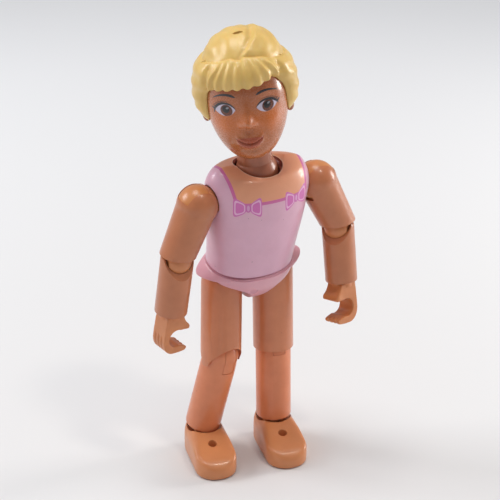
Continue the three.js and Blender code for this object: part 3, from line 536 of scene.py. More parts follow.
def plastic_shader(desk, colour, roughness, height, bump, coat, scatter, specular=0.5):
    shader = desk.node("ShaderNodeBsdfPrincipled")
    desk.feed(shader.inputs["Base Color"], colour)
    desk.feed(shader.inputs["Roughness"], roughness)
    shader.inputs["IOR"].default_value = 1.5
    shader.inputs["Specular IOR Level"].default_value = specular
    shader.inputs["Coat Weight"].default_value = coat
    shader.inputs["Coat Roughness"].default_value = 0.12
    shader.inputs["Subsurface Weight"].default_value = scatter
    shader.inputs["Subsurface Radius"].default_value = (1.0, 0.45, 0.3)
    shader.inputs["Subsurface Scale"].default_value = 0.0012
    relief = desk.node("ShaderNodeBump")
    relief.inputs["Strength"].default_value = bump
    relief.inputs["Distance"].default_value = 0.0001
    desk.feed(relief.inputs["Height"], height)
    desk.feed(shader.inputs["Normal"], relief.outputs["Normal"])
    out = desk.node("ShaderNodeOutputMaterial")
    desk.feed(out.inputs["Surface"], shader.outputs["BSDF"])


def plastic_material(name, matrix, tone, deep, roughness, drift=0.5, scatter=0.08):
    """Plain plastic of one tone that drifts towards a deeper one."""
    material, desk = new_material(name)
    surface = desk.group(
        PLASTIC, Place=own_place(desk, matrix), Colour=linear(*tone), Deep=linear(*deep),
        Drift=drift, Specks=0.4, Roughness=roughness,
    )
    plastic_shader(
        desk, surface["Colour"], surface["Roughness"], surface["Height"],
        bump=0.25, coat=0.25, scatter=scatter)
    return material


TONES = {
    "skin": ((194, 119, 78), (178, 104, 65)),
    "thigh": ((210, 129, 87), (194, 113, 73)),
    "shin": ((224, 134, 90), (208, 118, 76)),
    "warm": ((214, 138, 88), (198, 120, 70)),
    "hand": ((212, 134, 82), (194, 116, 66)),
    "knuckle": ((206, 134, 80), (188, 114, 62)),
    "neck": ((176, 106, 76), (156, 90, 62)),
    "suit": ((225, 176, 196), (212, 160, 180)),
    "skirt": ((228, 170, 182), (214, 154, 168)),
    "inner": ((120, 82, 62), (92, 60, 44)),
}


# Legs
def make_thigh(side, front_arch):
    length = THIGH["length"]
    radius = THIGH["radius"]
    knee = length - THIGH["knee_above_rim"]
    cavity_radius = radius - THIGH["wall"] - THIGH["room"]
    rim_edge = THIGH["rim_edge"]
    limb = turned([
        (0, -length), (radius - rim_edge, -length), (radius - rim_edge * 0.3, -length + rim_edge * 0.3),
        (radius, -length + rim_edge), *dome(radius, 0, -2, 90, 20),
    ])
    cavity = turned([(0, -length - 1), (cavity_radius, -length - 1), *dome(cavity_radius, -knee, 0, 90, 14)])
    arch = radius - 0.15
    cuts = [cavity, plate(oval_points(arch, THIGH["back_arch"], (0, -length), 64), 0.6, 12, "Y")]
    if front_arch:
        cuts.append(plate(oval_points(arch, THIGH["front_arch"], (0, -length), 64), -12, -0.6, "Y"))
    slot = (-10, -1.5) if side > 0 else (1.5, 10)
    slot_half = THIGH["hip_slot"]
    cuts.append(ball(THIGH["hip_cup"], around=32, up=20))
    cuts.append(block((slot[0], -slot_half, -2.3), (slot[1], slot_half, 10)))
    return carved(limb, away=cuts)


def shin_form(smooth_front, shrink=0.0):
    """The shin with its knee dome. Under an arched thigh the dome runs into the shin without a step."""
    knee_dome = THIGH["radius"] - THIGH["wall"] - GAP - 0.05 - shrink
    radius = SHIN["radius"] - shrink
    edge = SHIN["edge"]
    end = -SHIN["length"]
    step = -THIGH["knee_above_rim"] - 0.6
    start = -9 if smooth_front else -24
    blend = [(radius, step - 0.9), (radius - 0.03, step)] if smooth_front else [(radius, step)]
    return turned([
        (0, end), (radius - edge, end), (radius - edge * 0.5, end + edge * 0.13),
        (radius - edge * 0.13, end + edge * 0.5), (radius, end + edge),
        *blend, *dome(knee_dome, 0, start, 90, 22),
    ])


def make_shin(smooth_front):
    half = TONGUE["width"] / 2 + TONGUE["seam"]
    slot = block((-half, -10, -TONGUE["drop"] - TONGUE["seam"]), (half, 10, 10))
    hollow = SHIN["radius"] - SHIN["wall"]
    end = -SHIN["length"]
    top = end + SHIN["socket_depth"]
    socket = turned([(0, end - 1), (hollow, end - 1), (hollow, top), (1.5, top + 0.8), (0, top + 0.8)])
    return carved(shin_form(smooth_front), away=[slot, socket])


def make_knee_tongue(smooth_front):
    half = TONGUE["width"] / 2 - TONGUE["seam"]
    slab = block((-half, -10, -TONGUE["drop"] + TONGUE["seam"]), (half, 10, 10))
    return carved(shin_form(smooth_front, 0.03), kept=[slab])


def make_foot():
    sole = -FOOT["ankle"]
    rim = sole + FOOT["rim"]
    toe = -(FOOT["length"] - FOOT["heel_back"])
    toe_top = sole + FOOT["toe"]
    heel_half = FOOT["heel_width"] / 2
    toe_half = FOOT["width"] / 2
    outline = oval_points(heel_half, heel_half * 0.9, (0, FOOT["heel_back"] - heel_half * 0.9), 25, 0, 180)
    toe_round = toe_half * 0.95
    outline += oval_points(toe_half, toe_round, (0, toe + toe_round), 25, 180, 360)
    heel = FOOT["heel_back"]
    upper = plate([
        (heel + 1, sole - 1), (heel + 1, rim - 1.8), (heel - 1, rim + 0.1),
        (-4, rim + 0.1), (-7, rim - 0.6), (toe + 4.6, toe_top + 0.2), (toe + 2.3, toe_top - 0.7),
        (toe + 0.7, toe_top - 2.2), (toe - 0.1, toe_top - 4.2), (toe - 0.2, sole - 1),
    ], -10, 10, "X")
    half = toe_half + 0.1
    front = plate([
        (-half, sole), (half, sole), (half, rim - 3.8), (half - 0.7, rim - 1.7), (half - 2.3, rim + 0.3),
        (-half + 2.3, rim + 0.3), (-half + 0.7, rim - 1.7), (-half, rim - 3.8),
    ], -30, 20, "Y")
    hole_y = -FOOT["hole_forward"]
    shape = softened(carved(plate(outline, sole, rim + 4, "Z"), kept=[upper, front]), voxel=0.36, rounds=48)
    for vert in shape.verts:
        if vert.co.z < sole + 0.1:
            vert.co.z = sole
        hollow = 0.5 * exp(-(vert.co.x / 3.4) ** 2 - ((vert.co.y - hole_y + 0.2) / 3.0) ** 2)
        if vert.co.z > sole + 3:
            vert.co.z -= hollow
    reach = SHIN["radius"] + FOOT["cup_gap"]
    drop = SHIN["ankle_above_end"] - SHIN["edge"] + FOOT["cup_gap"] + GAP
    half_cup = reach + 0.02
    cup = [(0, -half_cup)]
    for i in range(25):
        x = mixed(-half_cup, half_cup, i / 24)
        cup.append((min(7, sqrt(max(0, reach ** 2 - x ** 2) + drop ** 2)), x))
    cup.append((0, half_cup))
    hole = moved(spun(rod(FOOT["hole"], 6, sides=40), 8, "X"), (0, hole_y, rim - 1.9))
    at, half_cheek = FOOT["cheek_at"], FOOT["cheek"] / 2
    cheeks = [
        block((side * at - half_cheek, -1.8, -8), (side * at + half_cheek, 1.8, 0.4)) for side in (-1, 1)
    ]
    shape = carved(shape, away=[turned(cup, 72, "X"), hole])
    return carved(shape, joined=cheeks)


# Arms
def make_shoulder_knuckle(side):
    half = SHOULDER["disc_width"] / 2
    disc = carved(ball(SHOULDER["disc"], around=72, up=40), kept=[block((-10, -half, -10), (10, half, 10))])
    shaft = 10.2
    return carved(disc, joined=[rod(SHOULDER["shaft"], shaft, "X", (-side * shaft / 2, 0, 0))])


def make_upper_arm(side, slant):
    radius = UPPER_ARM["radius"]
    top = SHOULDER["radius"] - 0.15
    length = UPPER_ARM["length"]

    def section(t):
        around = mixed(radius, top, t)
        return {
            "at": (0, 0, -length * (1 - t)),
            "half_width": around / cos(slant * (1 - t)),
            "half_depth": around,
            "roll": slant * (1 - t),
        }

    slot_half = SHOULDER["disc_width"] / 2 + 0.1
    far = 14
    hollow = ball(SHOULDER["disc"] + 0.06, around=72, up=40)
    outer = (0, far) if side > 0 else (-far, 0)
    inner = (-far, 0) if side > 0 else (0, far)
    cuts = [
        carved(hollow, kept=[block((-10, -slot_half, -10), (10, slot_half, 10))]),
        block((outer[0], -slot_half, 0.4), (outer[1], slot_half, far)),
        block((inner[0], -slot_half, -SHOULDER["shaft"] - 0.2), (inner[1], slot_half, far)),
        ball(ELBOW["radius"] + 0.4, (0, 0, -length)),
    ]
    return carved(ball(SHOULDER["radius"], around=72, up=40), joined=[stacked(12, 72, section)], away=cuts)


def make_elbow_knuckle():
    half = ELBOW["width"] / 2
    slab = block((-half, -8, -10), (half, 8, 10))
    knuckle = carved(ball(ELBOW["radius"], (0, 0, -ELBOW["below_rim"])), kept=[slab])
    return carved(knuckle, joined=[rod(ELBOW["stem"], 7, "Z", (0, 0, 3.5))])


def make_forearm():
    end = -FOREARM["length"]
    radius = FOREARM["radius"]
    rim = FOREARM["rim_radius"]
    ear_top = 1.2
    outer = turned([
        (0, end), (rim - 0.4, end), (rim - 0.12, end + 0.12), (rim, end + 0.4), (radius, -2),
        (radius, ear_top - 0.5), (radius - 0.15, ear_top - 0.12), (radius - 0.5, ear_top), (0, ear_top),
    ])
    slot_half = ELBOW["width"] / 2 + 0.1
    steep = tan(radians(ELBOW["fold"]))
    cuts = [
        ball(ELBOW["radius"] + 0.14, around=72, up=40),
        block((-slot_half, -10, -0.3), (slot_half, 10, 6)),
        plate([(-0.8, ear_top), (-0.8, 6), (-12, 6), (-12, ear_top - 11.2 * steep)], -10, 10, "X"),
        rod(WRIST_RADIUS - 0.5, 7, "Z", (0, 0, end + 3)),
    ]
    return carved(outer, away=cuts)


def curve_points(start, middle, end, steps=8):
    """Points after the start of a curve drawn towards one middle point."""
    points = []
    for i in range(1, steps + 1):
        t = i / steps
        points.append(tuple(
            (1 - t) ** 2 * a + 2 * t * (1 - t) * b + t * t * c for a, b, c in zip(start, middle, end)))
    return points


def make_hand():
    grip_x, grip_z = HAND["grip"]
    grip = HAND["grip_radius"]
    outline = [(-2.9, 0), (2.9, 0)]
    outline += curve_points((2.9, 0), (3.4, -1.8), (4.9, -3.3))
    outline += [(5.25, -3.9), (5.2, -4.6)]
    outline += oval_points(grip, grip, (grip_x, grip_z), 30, 68, 292)
    outline += [(4.4, -10.5), (5.1, -10.8), (5.15, -11.4), (4.7, -12)]
    outline += curve_points((4.7, -12), (2.4, -HAND["length"]), (0, -HAND["length"]))
    outline += curve_points((0, -HAND["length"]), (-2.9, -HAND["length"] + 0.6), (-3.3, -8.4))
    outline += curve_points((-3.3, -8.4), (-3.3, -3.6), (-2.9, 0))[:-1]
    half = HAND["thickness"] / 2
    palm = softened(plate(outline, -half, half, "Y"), voxel=0.17, rounds=8)
    palm.normal_update()
    grooves = (-1.45, 0.05, 1.5)
    for vert in palm.verts:
        x, y, z = vert.co
        away = hypot(x - grip_x, z - grip_z)
        fingers = smooth(-5.6, -7.4, z) * smooth(grip + 0.9, grip + 1.5, away)
        press = 0.3 * fingers * sum(hill(y, groove, 0.26) for groove in grooves)
        pad = 0.25 * hill(x, 4.6, 1.2) * hill(z, -4.0, 1.2)
        vert.co += vert.normal * (pad - press)
    post = rod(WRIST_RADIUS - 0.8, 6.4, "Z", (0, 0, 2.4))
    collar = rod(WRIST_RADIUS, 1.3, "Z", (0, 0, -0.5), sides=56)
    return carved(palm, joined=[post, collar])


# Torso and pelvis
def torso_section(height):
    rise = smooth(0, TORSO["chest_at"], height)
    above = max(0, (height - TORSO["chest_at"]) / (TORSO["height"] - TORSO["chest_at"]))
    round_across = max(0, 1 - above ** 3) ** (1 / 3)
    round_deep = sqrt(max(0, 1 - above ** 1.9))
    widest = mixed(TORSO["chest_width"], TORSO["shoulder_width"], smooth(0, 0.55, above))
    width = mixed(WAIST["half_width"], widest, rise)
    depth = mixed(WAIST["half_depth"], TORSO["chest_depth"], rise)
    return {
        "at": (0, NECK["back"] * above, height),
        "half_width": mixed(TORSO["rim_width"], width, round_across),
        "half_depth": mixed(TORSO["rim_depth"], depth, round_deep),
        "squareness": mixed(2.2, 2.15, rise),
        "dip": tan(radians(TORSO["hole_tilt"])) * above,
        "back_fall": -tan(radians(TORSO["back_slope"])) * above,
    }


def make_torso():
    height = TORSO["height"]
    outer = stacked(48, 112, lambda t: torso_section(mixed(-0.15, height, 1 - (1 - t) ** 1.6)))
    bore = NECK["ball_radius"] + 0.5
    floor = NECK["ball_up"] - 8
    socket = turned([
        (0, floor), (bore, floor), (bore, NECK["ball_up"] + 0.8),
        (NECK["hole_radius"], NECK["ball_up"] + 1.4), (NECK["hole_radius"], height + 6), (0, height + 6),
    ], at=(0, NECK["back"], 0))
    cuts = [socket, rod(3.1, 8, "Z", (0, 0, 0))]
    for _, side in SIDES:
        at = (side * SHOULDER["span"], 0, SHOULDER["up"])
        cuts.append(ball(SHOULDER["radius"] + 0.25, at))
        inside = (side * (SHOULDER["span"] - 6), 0, SHOULDER["up"])
        cuts.append(rod(SHOULDER["shaft"] + 0.15, 12, "X", inside))
    return carved(outer, away=cuts)


THIGH_SWINGS = ((0, 0), (-15, 0), (-30, 0), (-45, 0), (-58, 0), (-68, 0), (-22, 4), (0, 4))


def thigh_sweep(side):
    """The room that one thigh needs as it swings forwards, from its angles of flex and spread."""
    rooms = []
    clear = THIGH["radius"] + 0.2
    for step, (flex, spread) in enumerate(THIGH_SWINGS):
        room = rod(clear + 0.012 * step, 20, "Z", (0, 0, -10), sides=56)
        spun(room, -side * spread, "Y")
        spun(room, flex, "X")
        rooms.append(moved(room, (side * HIP_SPACING / 2, 0, 0)))
    return rooms + [ball(clear + 0.09, (side * HIP_SPACING / 2, 0, 0))]


SKIRT = {"drop": 1.7, "half_width": 17.2, "half_depth": 10.95, "wall": 1.0}
RECESS = {"at": (-3.3, -10.6, 1.9), "radius": 1.75}


def make_pelvis():
    up = WAIST["up"]

    def skirt(t, shrink=0.0, drop=0.0):
        flare = max(0, 1 - t) ** 1.4
        return {
            "at": (0, 0, up - SKIRT["drop"] * (1 - t) - drop),
            "half_width": mixed(WAIST["half_width"], SKIRT["half_width"], flare) - shrink,
            "half_depth": mixed(WAIST["half_depth"], SKIRT["half_depth"], flare) - shrink,
            "squareness": mixed(2.3, 1.6, flare),
        }

    bowl_drop = 12.6

    def bowl(t):
        deep = 1 - t
        round_in = sqrt(max(0.004, 1 - deep ** 2.1))
        return {
            "at": (0, 0.4 * deep, up - 0.4 - bowl_drop * deep),
            "half_width": (WAIST["half_width"] - 0.2) * round_in,
            "half_depth": (WAIST["half_depth"] + 0.8) * round_in,
            "squareness": mixed(2.3, 2.0, deep),
        }

    brim = stacked(10, 112, skirt)
    under = stacked(10, 112, lambda t: skirt(t * 1.02 - 0.01, SKIRT["wall"], 0.4))
    hull = stacked(28, 112, lambda t: bowl(1 - (1 - t) ** 0.75))
    above = block((-30, -30, up - 0.15), (30, 30, up + 6))
    shape = carved(brim, away=[under])
    shape = carved(shape, joined=[hull], away=[above])
    rooms = thigh_sweep(-1) + thigh_sweep(1)
    shape = carved(shape, away=rooms)
    recess = ball(RECESS["radius"], RECESS["at"], around=40, up=24)
    return carved(shape, away=[rod(2.1, 6, "Z", (0, 0, up)), recess])


# Neck, head and hair
def make_neck():
    radius = NECK["radius"]
    column = turned([
        (0, 0), (radius, 0), (radius, 10), (radius - 1.4, 12), (radius - 1.4, 15), (0, 15),
    ])
    mouth = turned([(0, -9), (6.4, -9), (1.7, 0), (0, 0)], 40)
    return carved(ball(NECK["ball_radius"], around=72, up=40), joined=[column], away=[mouth])


def head_point(direction, grow=0.0):
    x, y, z = direction
    low = smooth(-0.1, -1, z)
    narrow = 1 - 0.02 * low
    back_in = 1 - 0.25 * low if y > 0 else 1
    height = HEAD["top"] if z > 0 else HEAD["chin"]
    return Vector((
        x * (HEAD["half_width"] + grow) * narrow,
        y * (HEAD["half_depth"] + grow) * back_in - 3.4 * low,
        z * (height + grow),
    ))


FACE_MIDDLE = -0.5
MOUTH = {"half_width": 3.8, "up": -9.8, "smile": 1.5}


def face_relief(x, z):
    """How far the face stands forward of the plain head, in millimetres."""
    x -= FACE_MIDDLE
    side = abs(x)
    under_nose = smooth(-5.6, -4.5, z)
    bridge = 1.05 * hill(x, 0, 1.15 + 0.35 * smooth(1, -3, z)) * smooth(3.4, -2.4, z) * under_nose
    tip = 1.4 * hill(x, 0, 1.55) * hill(z, -2.75, 1.45)
    base = 0.75 * hill(x, 0, 2.2) * hill(z, -4.0, 1.3) * under_nose
    wings = 0.55 * hill(side, 1.85, 0.9) * hill(z, -3.9, 1.05) * under_nose
    socket = -0.6 * hill(side, 5.4, 3.0) * hill(z, 1.0, 2.5)
    lid = 0.42 * hill(side, 5.7, 2.3) * hill(z, 0.2, 1.7)
    brow = 0.2 * hill(side, 5.6, 4.0) * hill(z, 4.4, 1.5)
    cheek = 0.75 * hill(side, 6.4, 2.9) * hill(z, -5.0, 2.8)
    muzzle = 0.7 * hill(x, 0, 3.9) * hill(z, -8.8, 2.9)
    corner = min(1, side / MOUTH["half_width"])
    thin = sqrt(max(0, 1 - corner ** 2))
    line = MOUTH["up"] + MOUTH["smile"] * corner ** 2
    upper_lip = 0.55 * thin * hill(z, line + 0.62, 0.6)
    lower_lip = 0.75 * thin * hill(z, line - 0.85, 0.72)
    mouth = -0.32 * (0.35 + 0.65 * thin) * hill(z, line, 0.26) * smooth(4.3, 3.6, side)
    lip_edge = 0.16 * thin * hill(z, line - 1.75 * thin - 0.1, 0.25)
    groove = -0.2 * hill(x, 0, 0.7) * hill(z, -6.6, 1.0)
    crease = -0.35 * hill(x, 0, 2.6) * hill(z, -12.3, 0.8)
    chin = 0.6 * hill(x, 0, 2.8) * hill(z, -14.6, 2.1)
    fold = -0.16 * hill(side - 0.42 * (-6.0 - z), 3.7, 0.6) * smooth(-5.0, -6.4, z) * smooth(-10.4, -9.0, z)
    nose = bridge + tip + base + wings
    eyes = socket + lid + brow
    lips = upper_lip + lower_lip + mouth + lip_edge
    return nose + eyes + cheek + muzzle + lips + groove + crease + chin + fold


def make_head():
    bm = bmesh.new()
    bmesh.ops.create_uvsphere(bm, u_segments=224, v_segments=220, radius=1)
    for vert in bm.verts:
        x, y, z = vert.co
        turn = atan2(x, -y)
        turn -= 0.4 * sin(turn)
        level = hypot(x, y)
        direction = Vector((sin(turn) * level, -cos(turn) * level, z)).normalized()
        point = head_point(direction)
        forward = smooth(0.1, 0.55, -direction.y)
        point.y -= face_relief(point.x, point.z) * forward
        vert.co = point
    ears = []
    for _, side in SIDES:
        ear = ball(1, around=32, up=20)
        bmesh.ops.scale(ear, vec=(1.3, 1.5, 2.1), verts=ear.verts)
        ears.append(moved(ear, (side * HEAD["half_width"], 0.8, -4.9)))
    back = -HEAD["forward"]
    socket = rod(NECK["radius"] + 0.12, 10.4, "Z", (0, back, -HEAD["up"] + 5.1), sides=72)
    return carved(bm, joined=ears, away=[socket])


HAIR = {"top": 19.0, "middle": 2.0, "below": 15.6, "half_width": 14.35, "half_depth": 15.1,
        "normal_height": 17.3, "back": 1.2}

# Heights of the mould groove and of the hair's lower edge by azimuth in degrees, 0 in front
HAIR_GROOVE = [
    (-180, 11.0), (-96, 11.9), (-60, 12.5), (-36, 13.3), (-18, 14.2), (-2, 13.6), (3, 14.3), (31, 13.5),
    (48, 12.2), (86, 10.8), (180, 11.0),
]
HAIR_EDGE = [
    (-180, -6.2), (-120, -6.0), (-92, -5.6), (-80, -5.2), (-75, -4.4), (-72, -2.6), (-70, -0.3), (-68, 1.9),
    (-64, 4.0), (-58, 5.2), (-50, 6.2), (-42, 6.6), (-20, 6.8), (8, 7.0), (22, 7.5), (34, 8.4), (39, 8.8),
    (43, 7.9), (50, 7.4), (58, 5.4), (64, 4.0), (68, 1.9), (70, -0.3), (72, -2.4), (75, -4.0), (80, -4.9),
    (92, -5.4), (120, -6.0), (180, -6.2),
]

# The parting by depth from front to back, and the azimuths between the locks of the fringe
PARTING = [(-12.0, -0.5), (-9.4, 0.1), (-7.3, 1.9), (-3.7, 3.8), (2.4, 3.7), (9.0, 2.2)]
LOCKS = (-50, -38, -27, -15, -3, 10, 23, 35, 47)


def lock_rib(around):
    """Height of 0 to 1 across the lock at an azimuth, and the width of that lock in degrees."""
    for low, high in zip(LOCKS, LOCKS[1:]):
        if low <= around < high:
            across = (around - low) / (high - low)
            return 0.15 * sin(pi * across) + 0.425 * (1 - cos(2 * pi * across)), high - low
    return 0.0, 8.0


def lock_relief(around, height, groove, edge):
    """Ribs of the fringe, which fan out from under the parting."""
    down = min(1, max(0, (groove - height) / (groove - edge)))
    spread = mixed(0.74, 1.0, smooth(0, 0.9, down))
    rib, width = lock_rib(around / spread)
    roll = sin(pi * min(1, down * 0.88 + 0.06)) ** 0.75
    depth = 0.3 + 0.2 * min(1, width / 9)
    return roll * 1.1 + (depth * rib - 0.3) * smooth(0.02, 0.35, down)


def side_relief(around, height, groove):
    """Soft waves of the rolls at the sides and the back."""
    down = groove - height
    roll = 0.6 * smooth(0, 2.6, down) * smooth(26, 8, down)
    slant = height + 0.035 * abs(around) + 0.5 * sin(radians(around) * 5)
    wave = 0.5 + 0.5 * sin(2 * pi * slant / 3.7)
    return roll + (0.3 * wave - 0.14) * smooth(1.2, 4.5, down)


def crown_relief(x, y, around, height, groove):
    """The cap above the groove, with the parting and its flowing strands."""
    above = height - groove
    inset = -0.65 * smooth(4.5, 0.4, above) * (0.45 + 0.55 * smooth(20, 60, abs(around)))
    off = x - along(PARTING, y)
    near = smooth(9, 3, y)
    ridge = 0.8 * smooth(-0.7, 0.9, off) * exp(-max(0, off) / 6.0) * near
    cut = -0.3 * hill(off, -0.6, 0.9) * near
    flow = off * 0.34 + y * 0.16
    strands = 0.13 * sin(2 * pi * flow * 0.62)
    strands *= smooth(0.4, 2.5, above) * smooth(0.8, 3.5, abs(off))
    return inset + (ridge + cut) * smooth(-0.4, 1.4, above) + strands


def hair_outer(around, level, height, lower):
    """A point of the hair's outer skin, from its azimuth in degrees and its level radius of 0 to 1."""
    turn = radians(around)
    x = sin(turn) * HAIR["half_width"] * level
    y = -cos(turn) * HAIR["half_depth"] * level + HAIR["back"]
    groove = along(HAIR_GROOVE, around)
    front = smooth(53, 46, abs(around))
    below = mixed(side_relief(around, height, groove), lock_relief(around, height, groove, lower), front)
    valley = -0.95 * hill(abs(around), 50.5 + 0.8 * (11 - height), 4.2) * smooth(0, 2.0, groove - height)
    under = smooth(-0.35, 0.35, groove - height)
    crease = -0.3 * hill(height, groove, 0.22) * smooth(0.3, 0.6, level)
    relief = (below + valley) * under + crown_relief(x, y, around, height, groove) * (1 - under) + crease
    relief *= smooth(0.02, 0.3, level)
    out = Vector((
        x / HAIR["half_width"] ** 2,
        (y - HAIR["back"]) / HAIR["half_depth"] ** 2,
        (height - HAIR["middle"]) / HAIR["normal_height"] ** 2,
    ))
    out.normalize()
    return Vector((x, y, height)) + out * relief


def edge_distance(around, height):
    """Distance in millimetres along the skin from the hair's lower edge."""
    per_degree = 0.25
    at_x, at_z = per_degree * around, height
    nearest = 99.0
    for (a, low_a), (b, low_b) in zip(HAIR_EDGE, HAIR_EDGE[1:]):
        if b < around - 30 or a > around + 30:
            continue
        ax, bx = per_degree * a, per_degree * b
        run, rise = bx - ax, low_b - low_a
        share = min(1, max(0, ((at_x - ax) * run + (at_z - low_a) * rise) / (run * run + rise * rise)))
        nearest = min(nearest, hypot(ax + run * share - at_x, low_a + rise * share - at_z))
    return nearest


def tucked(outer, around, height):
    """Draws the side hair's front edge in towards the head, so that it is rounded over."""
    side = smooth(44, 52, abs(around)) * smooth(112, 96, abs(around))
    if side <= 0 or height > 9:
        return outer
    near = 1 - min(1, edge_distance(around, height) / 3.2)
    fold = 0.78 * (1 - sqrt(max(0, 1 - near * near))) * side
    turn = radians(around)
    top = HEAD["top"] if height > 0 else HEAD["chin"]
    polar = acos(max(-1, min(1, height / top)))
    inner = head_point((sin(turn) * sin(polar), -cos(turn) * sin(polar), cos(polar)), 0.3)
    return outer.lerp(inner, fold)


def hair_point(direction):
    """Folds a ball into a cap: its upper part is the outer skin and its lower part the inner one."""
    x, y, z = direction
    around = degrees(atan2(x, -y))
    turn = radians(around)
    along_down = acos(max(-1, min(1, z))) / pi
    edge = along(HAIR_EDGE, around)
    groove = along(HAIR_GROOVE, around)
    front = smooth(53, 46, abs(around))
    edge -= 0.45 * lock_rib(around)[0] * front
    rise = HAIR["top"] - HAIR["middle"]
    step = (edge - HAIR["middle"]) / (rise if edge > HAIR["middle"] else HAIR["below"])
    outer_end = acos(max(-1, min(1, step)))
    outer_share, inner_start = 0.62, 0.68
    if along_down <= outer_share:
        polar = outer_end * along_down / outer_share
    else:
        polar = outer_end
    tall = rise if cos(polar) > 0 else HAIR["below"]
    height = HAIR["middle"] + tall * cos(polar)
    outer = tucked(hair_outer(around, sin(polar), height, edge), around, height)
    if along_down <= outer_share:
        return outer
    top = HEAD["top"] if edge > 0 else HEAD["chin"]
    inner_end = acos(max(-1, min(1, edge / (top + 0.1))))
    back = min(1, (along_down - inner_start) / (1 - inner_start))
    inner_polar = inner_end * (1 - max(0, back))
    inner = head_point((sin(turn) * sin(inner_polar), -cos(turn) * sin(inner_polar), cos(inner_polar)), 0.06)
    if along_down >= inner_start:
        return inner
    t = (along_down - outer_share) / (inner_start - outer_share)
    bulge = sin(pi * t) * 0.35
    lip = outer.lerp(inner, t)
    lip.z -= bulge
    return lip


def make_hair():
    bm = bmesh.new()
    bmesh.ops.create_uvsphere(bm, u_segments=360, v_segments=150, radius=1)
    for vert in bm.verts:
        vert.co = hair_point(vert.co.normalized())
    bmesh.ops.recalc_face_normals(bm, faces=bm.faces)
    slit = plate(oval_points(1.45, 0.55, (-0.1, -1.7), 28), 16.6, 24, "Z")
    return carved(bm, away=[slit])


# Materials of the face, the suit and the hair
def circle_through(a, b, c):
    """Middle and radius of the circle through three points."""
    (ax, ay), (bx, by), (cx, cy) = a, b, c
    d = 2 * (ax * (by - cy) + bx * (cy - ay) + cx * (ay - by))
    ux = ((ax**2 + ay**2) * (by - cy) + (bx**2 + by**2) * (cy - ay) + (cx**2 + cy**2) * (ay - by)) / d
    uy = ((ax**2 + ay**2) * (cx - bx) + (bx**2 + by**2) * (ax - cx) + (cx**2 + cy**2) * (bx - ax)) / d
    return (ux, uy), hypot(ax - ux, ay - uy)


EYES = (
    {"outside": -1, "corners": ((-9.0, -0.2), (-3.45, 0.2)), "top": (-6.25, 1.85), "bottom": (-6.2, -1.55),
     "iris": (-5.85, 0.0), "pupil": (-6.0, 0.3), "brow": ((-9.2, 3.0), (-6.5, 4.4), (-3.1, 3.85))},
    {"outside": 1, "corners": ((2.4, 0.3), (8.2, 0.15)), "top": (5.3, 1.8), "bottom": (5.0, -1.4),
     "iris": (5.6, 0.15), "pupil": (5.4, 0.4), "brow": ((2.6, 3.9), (5.6, 4.5), (8.9, 3.1))},
)


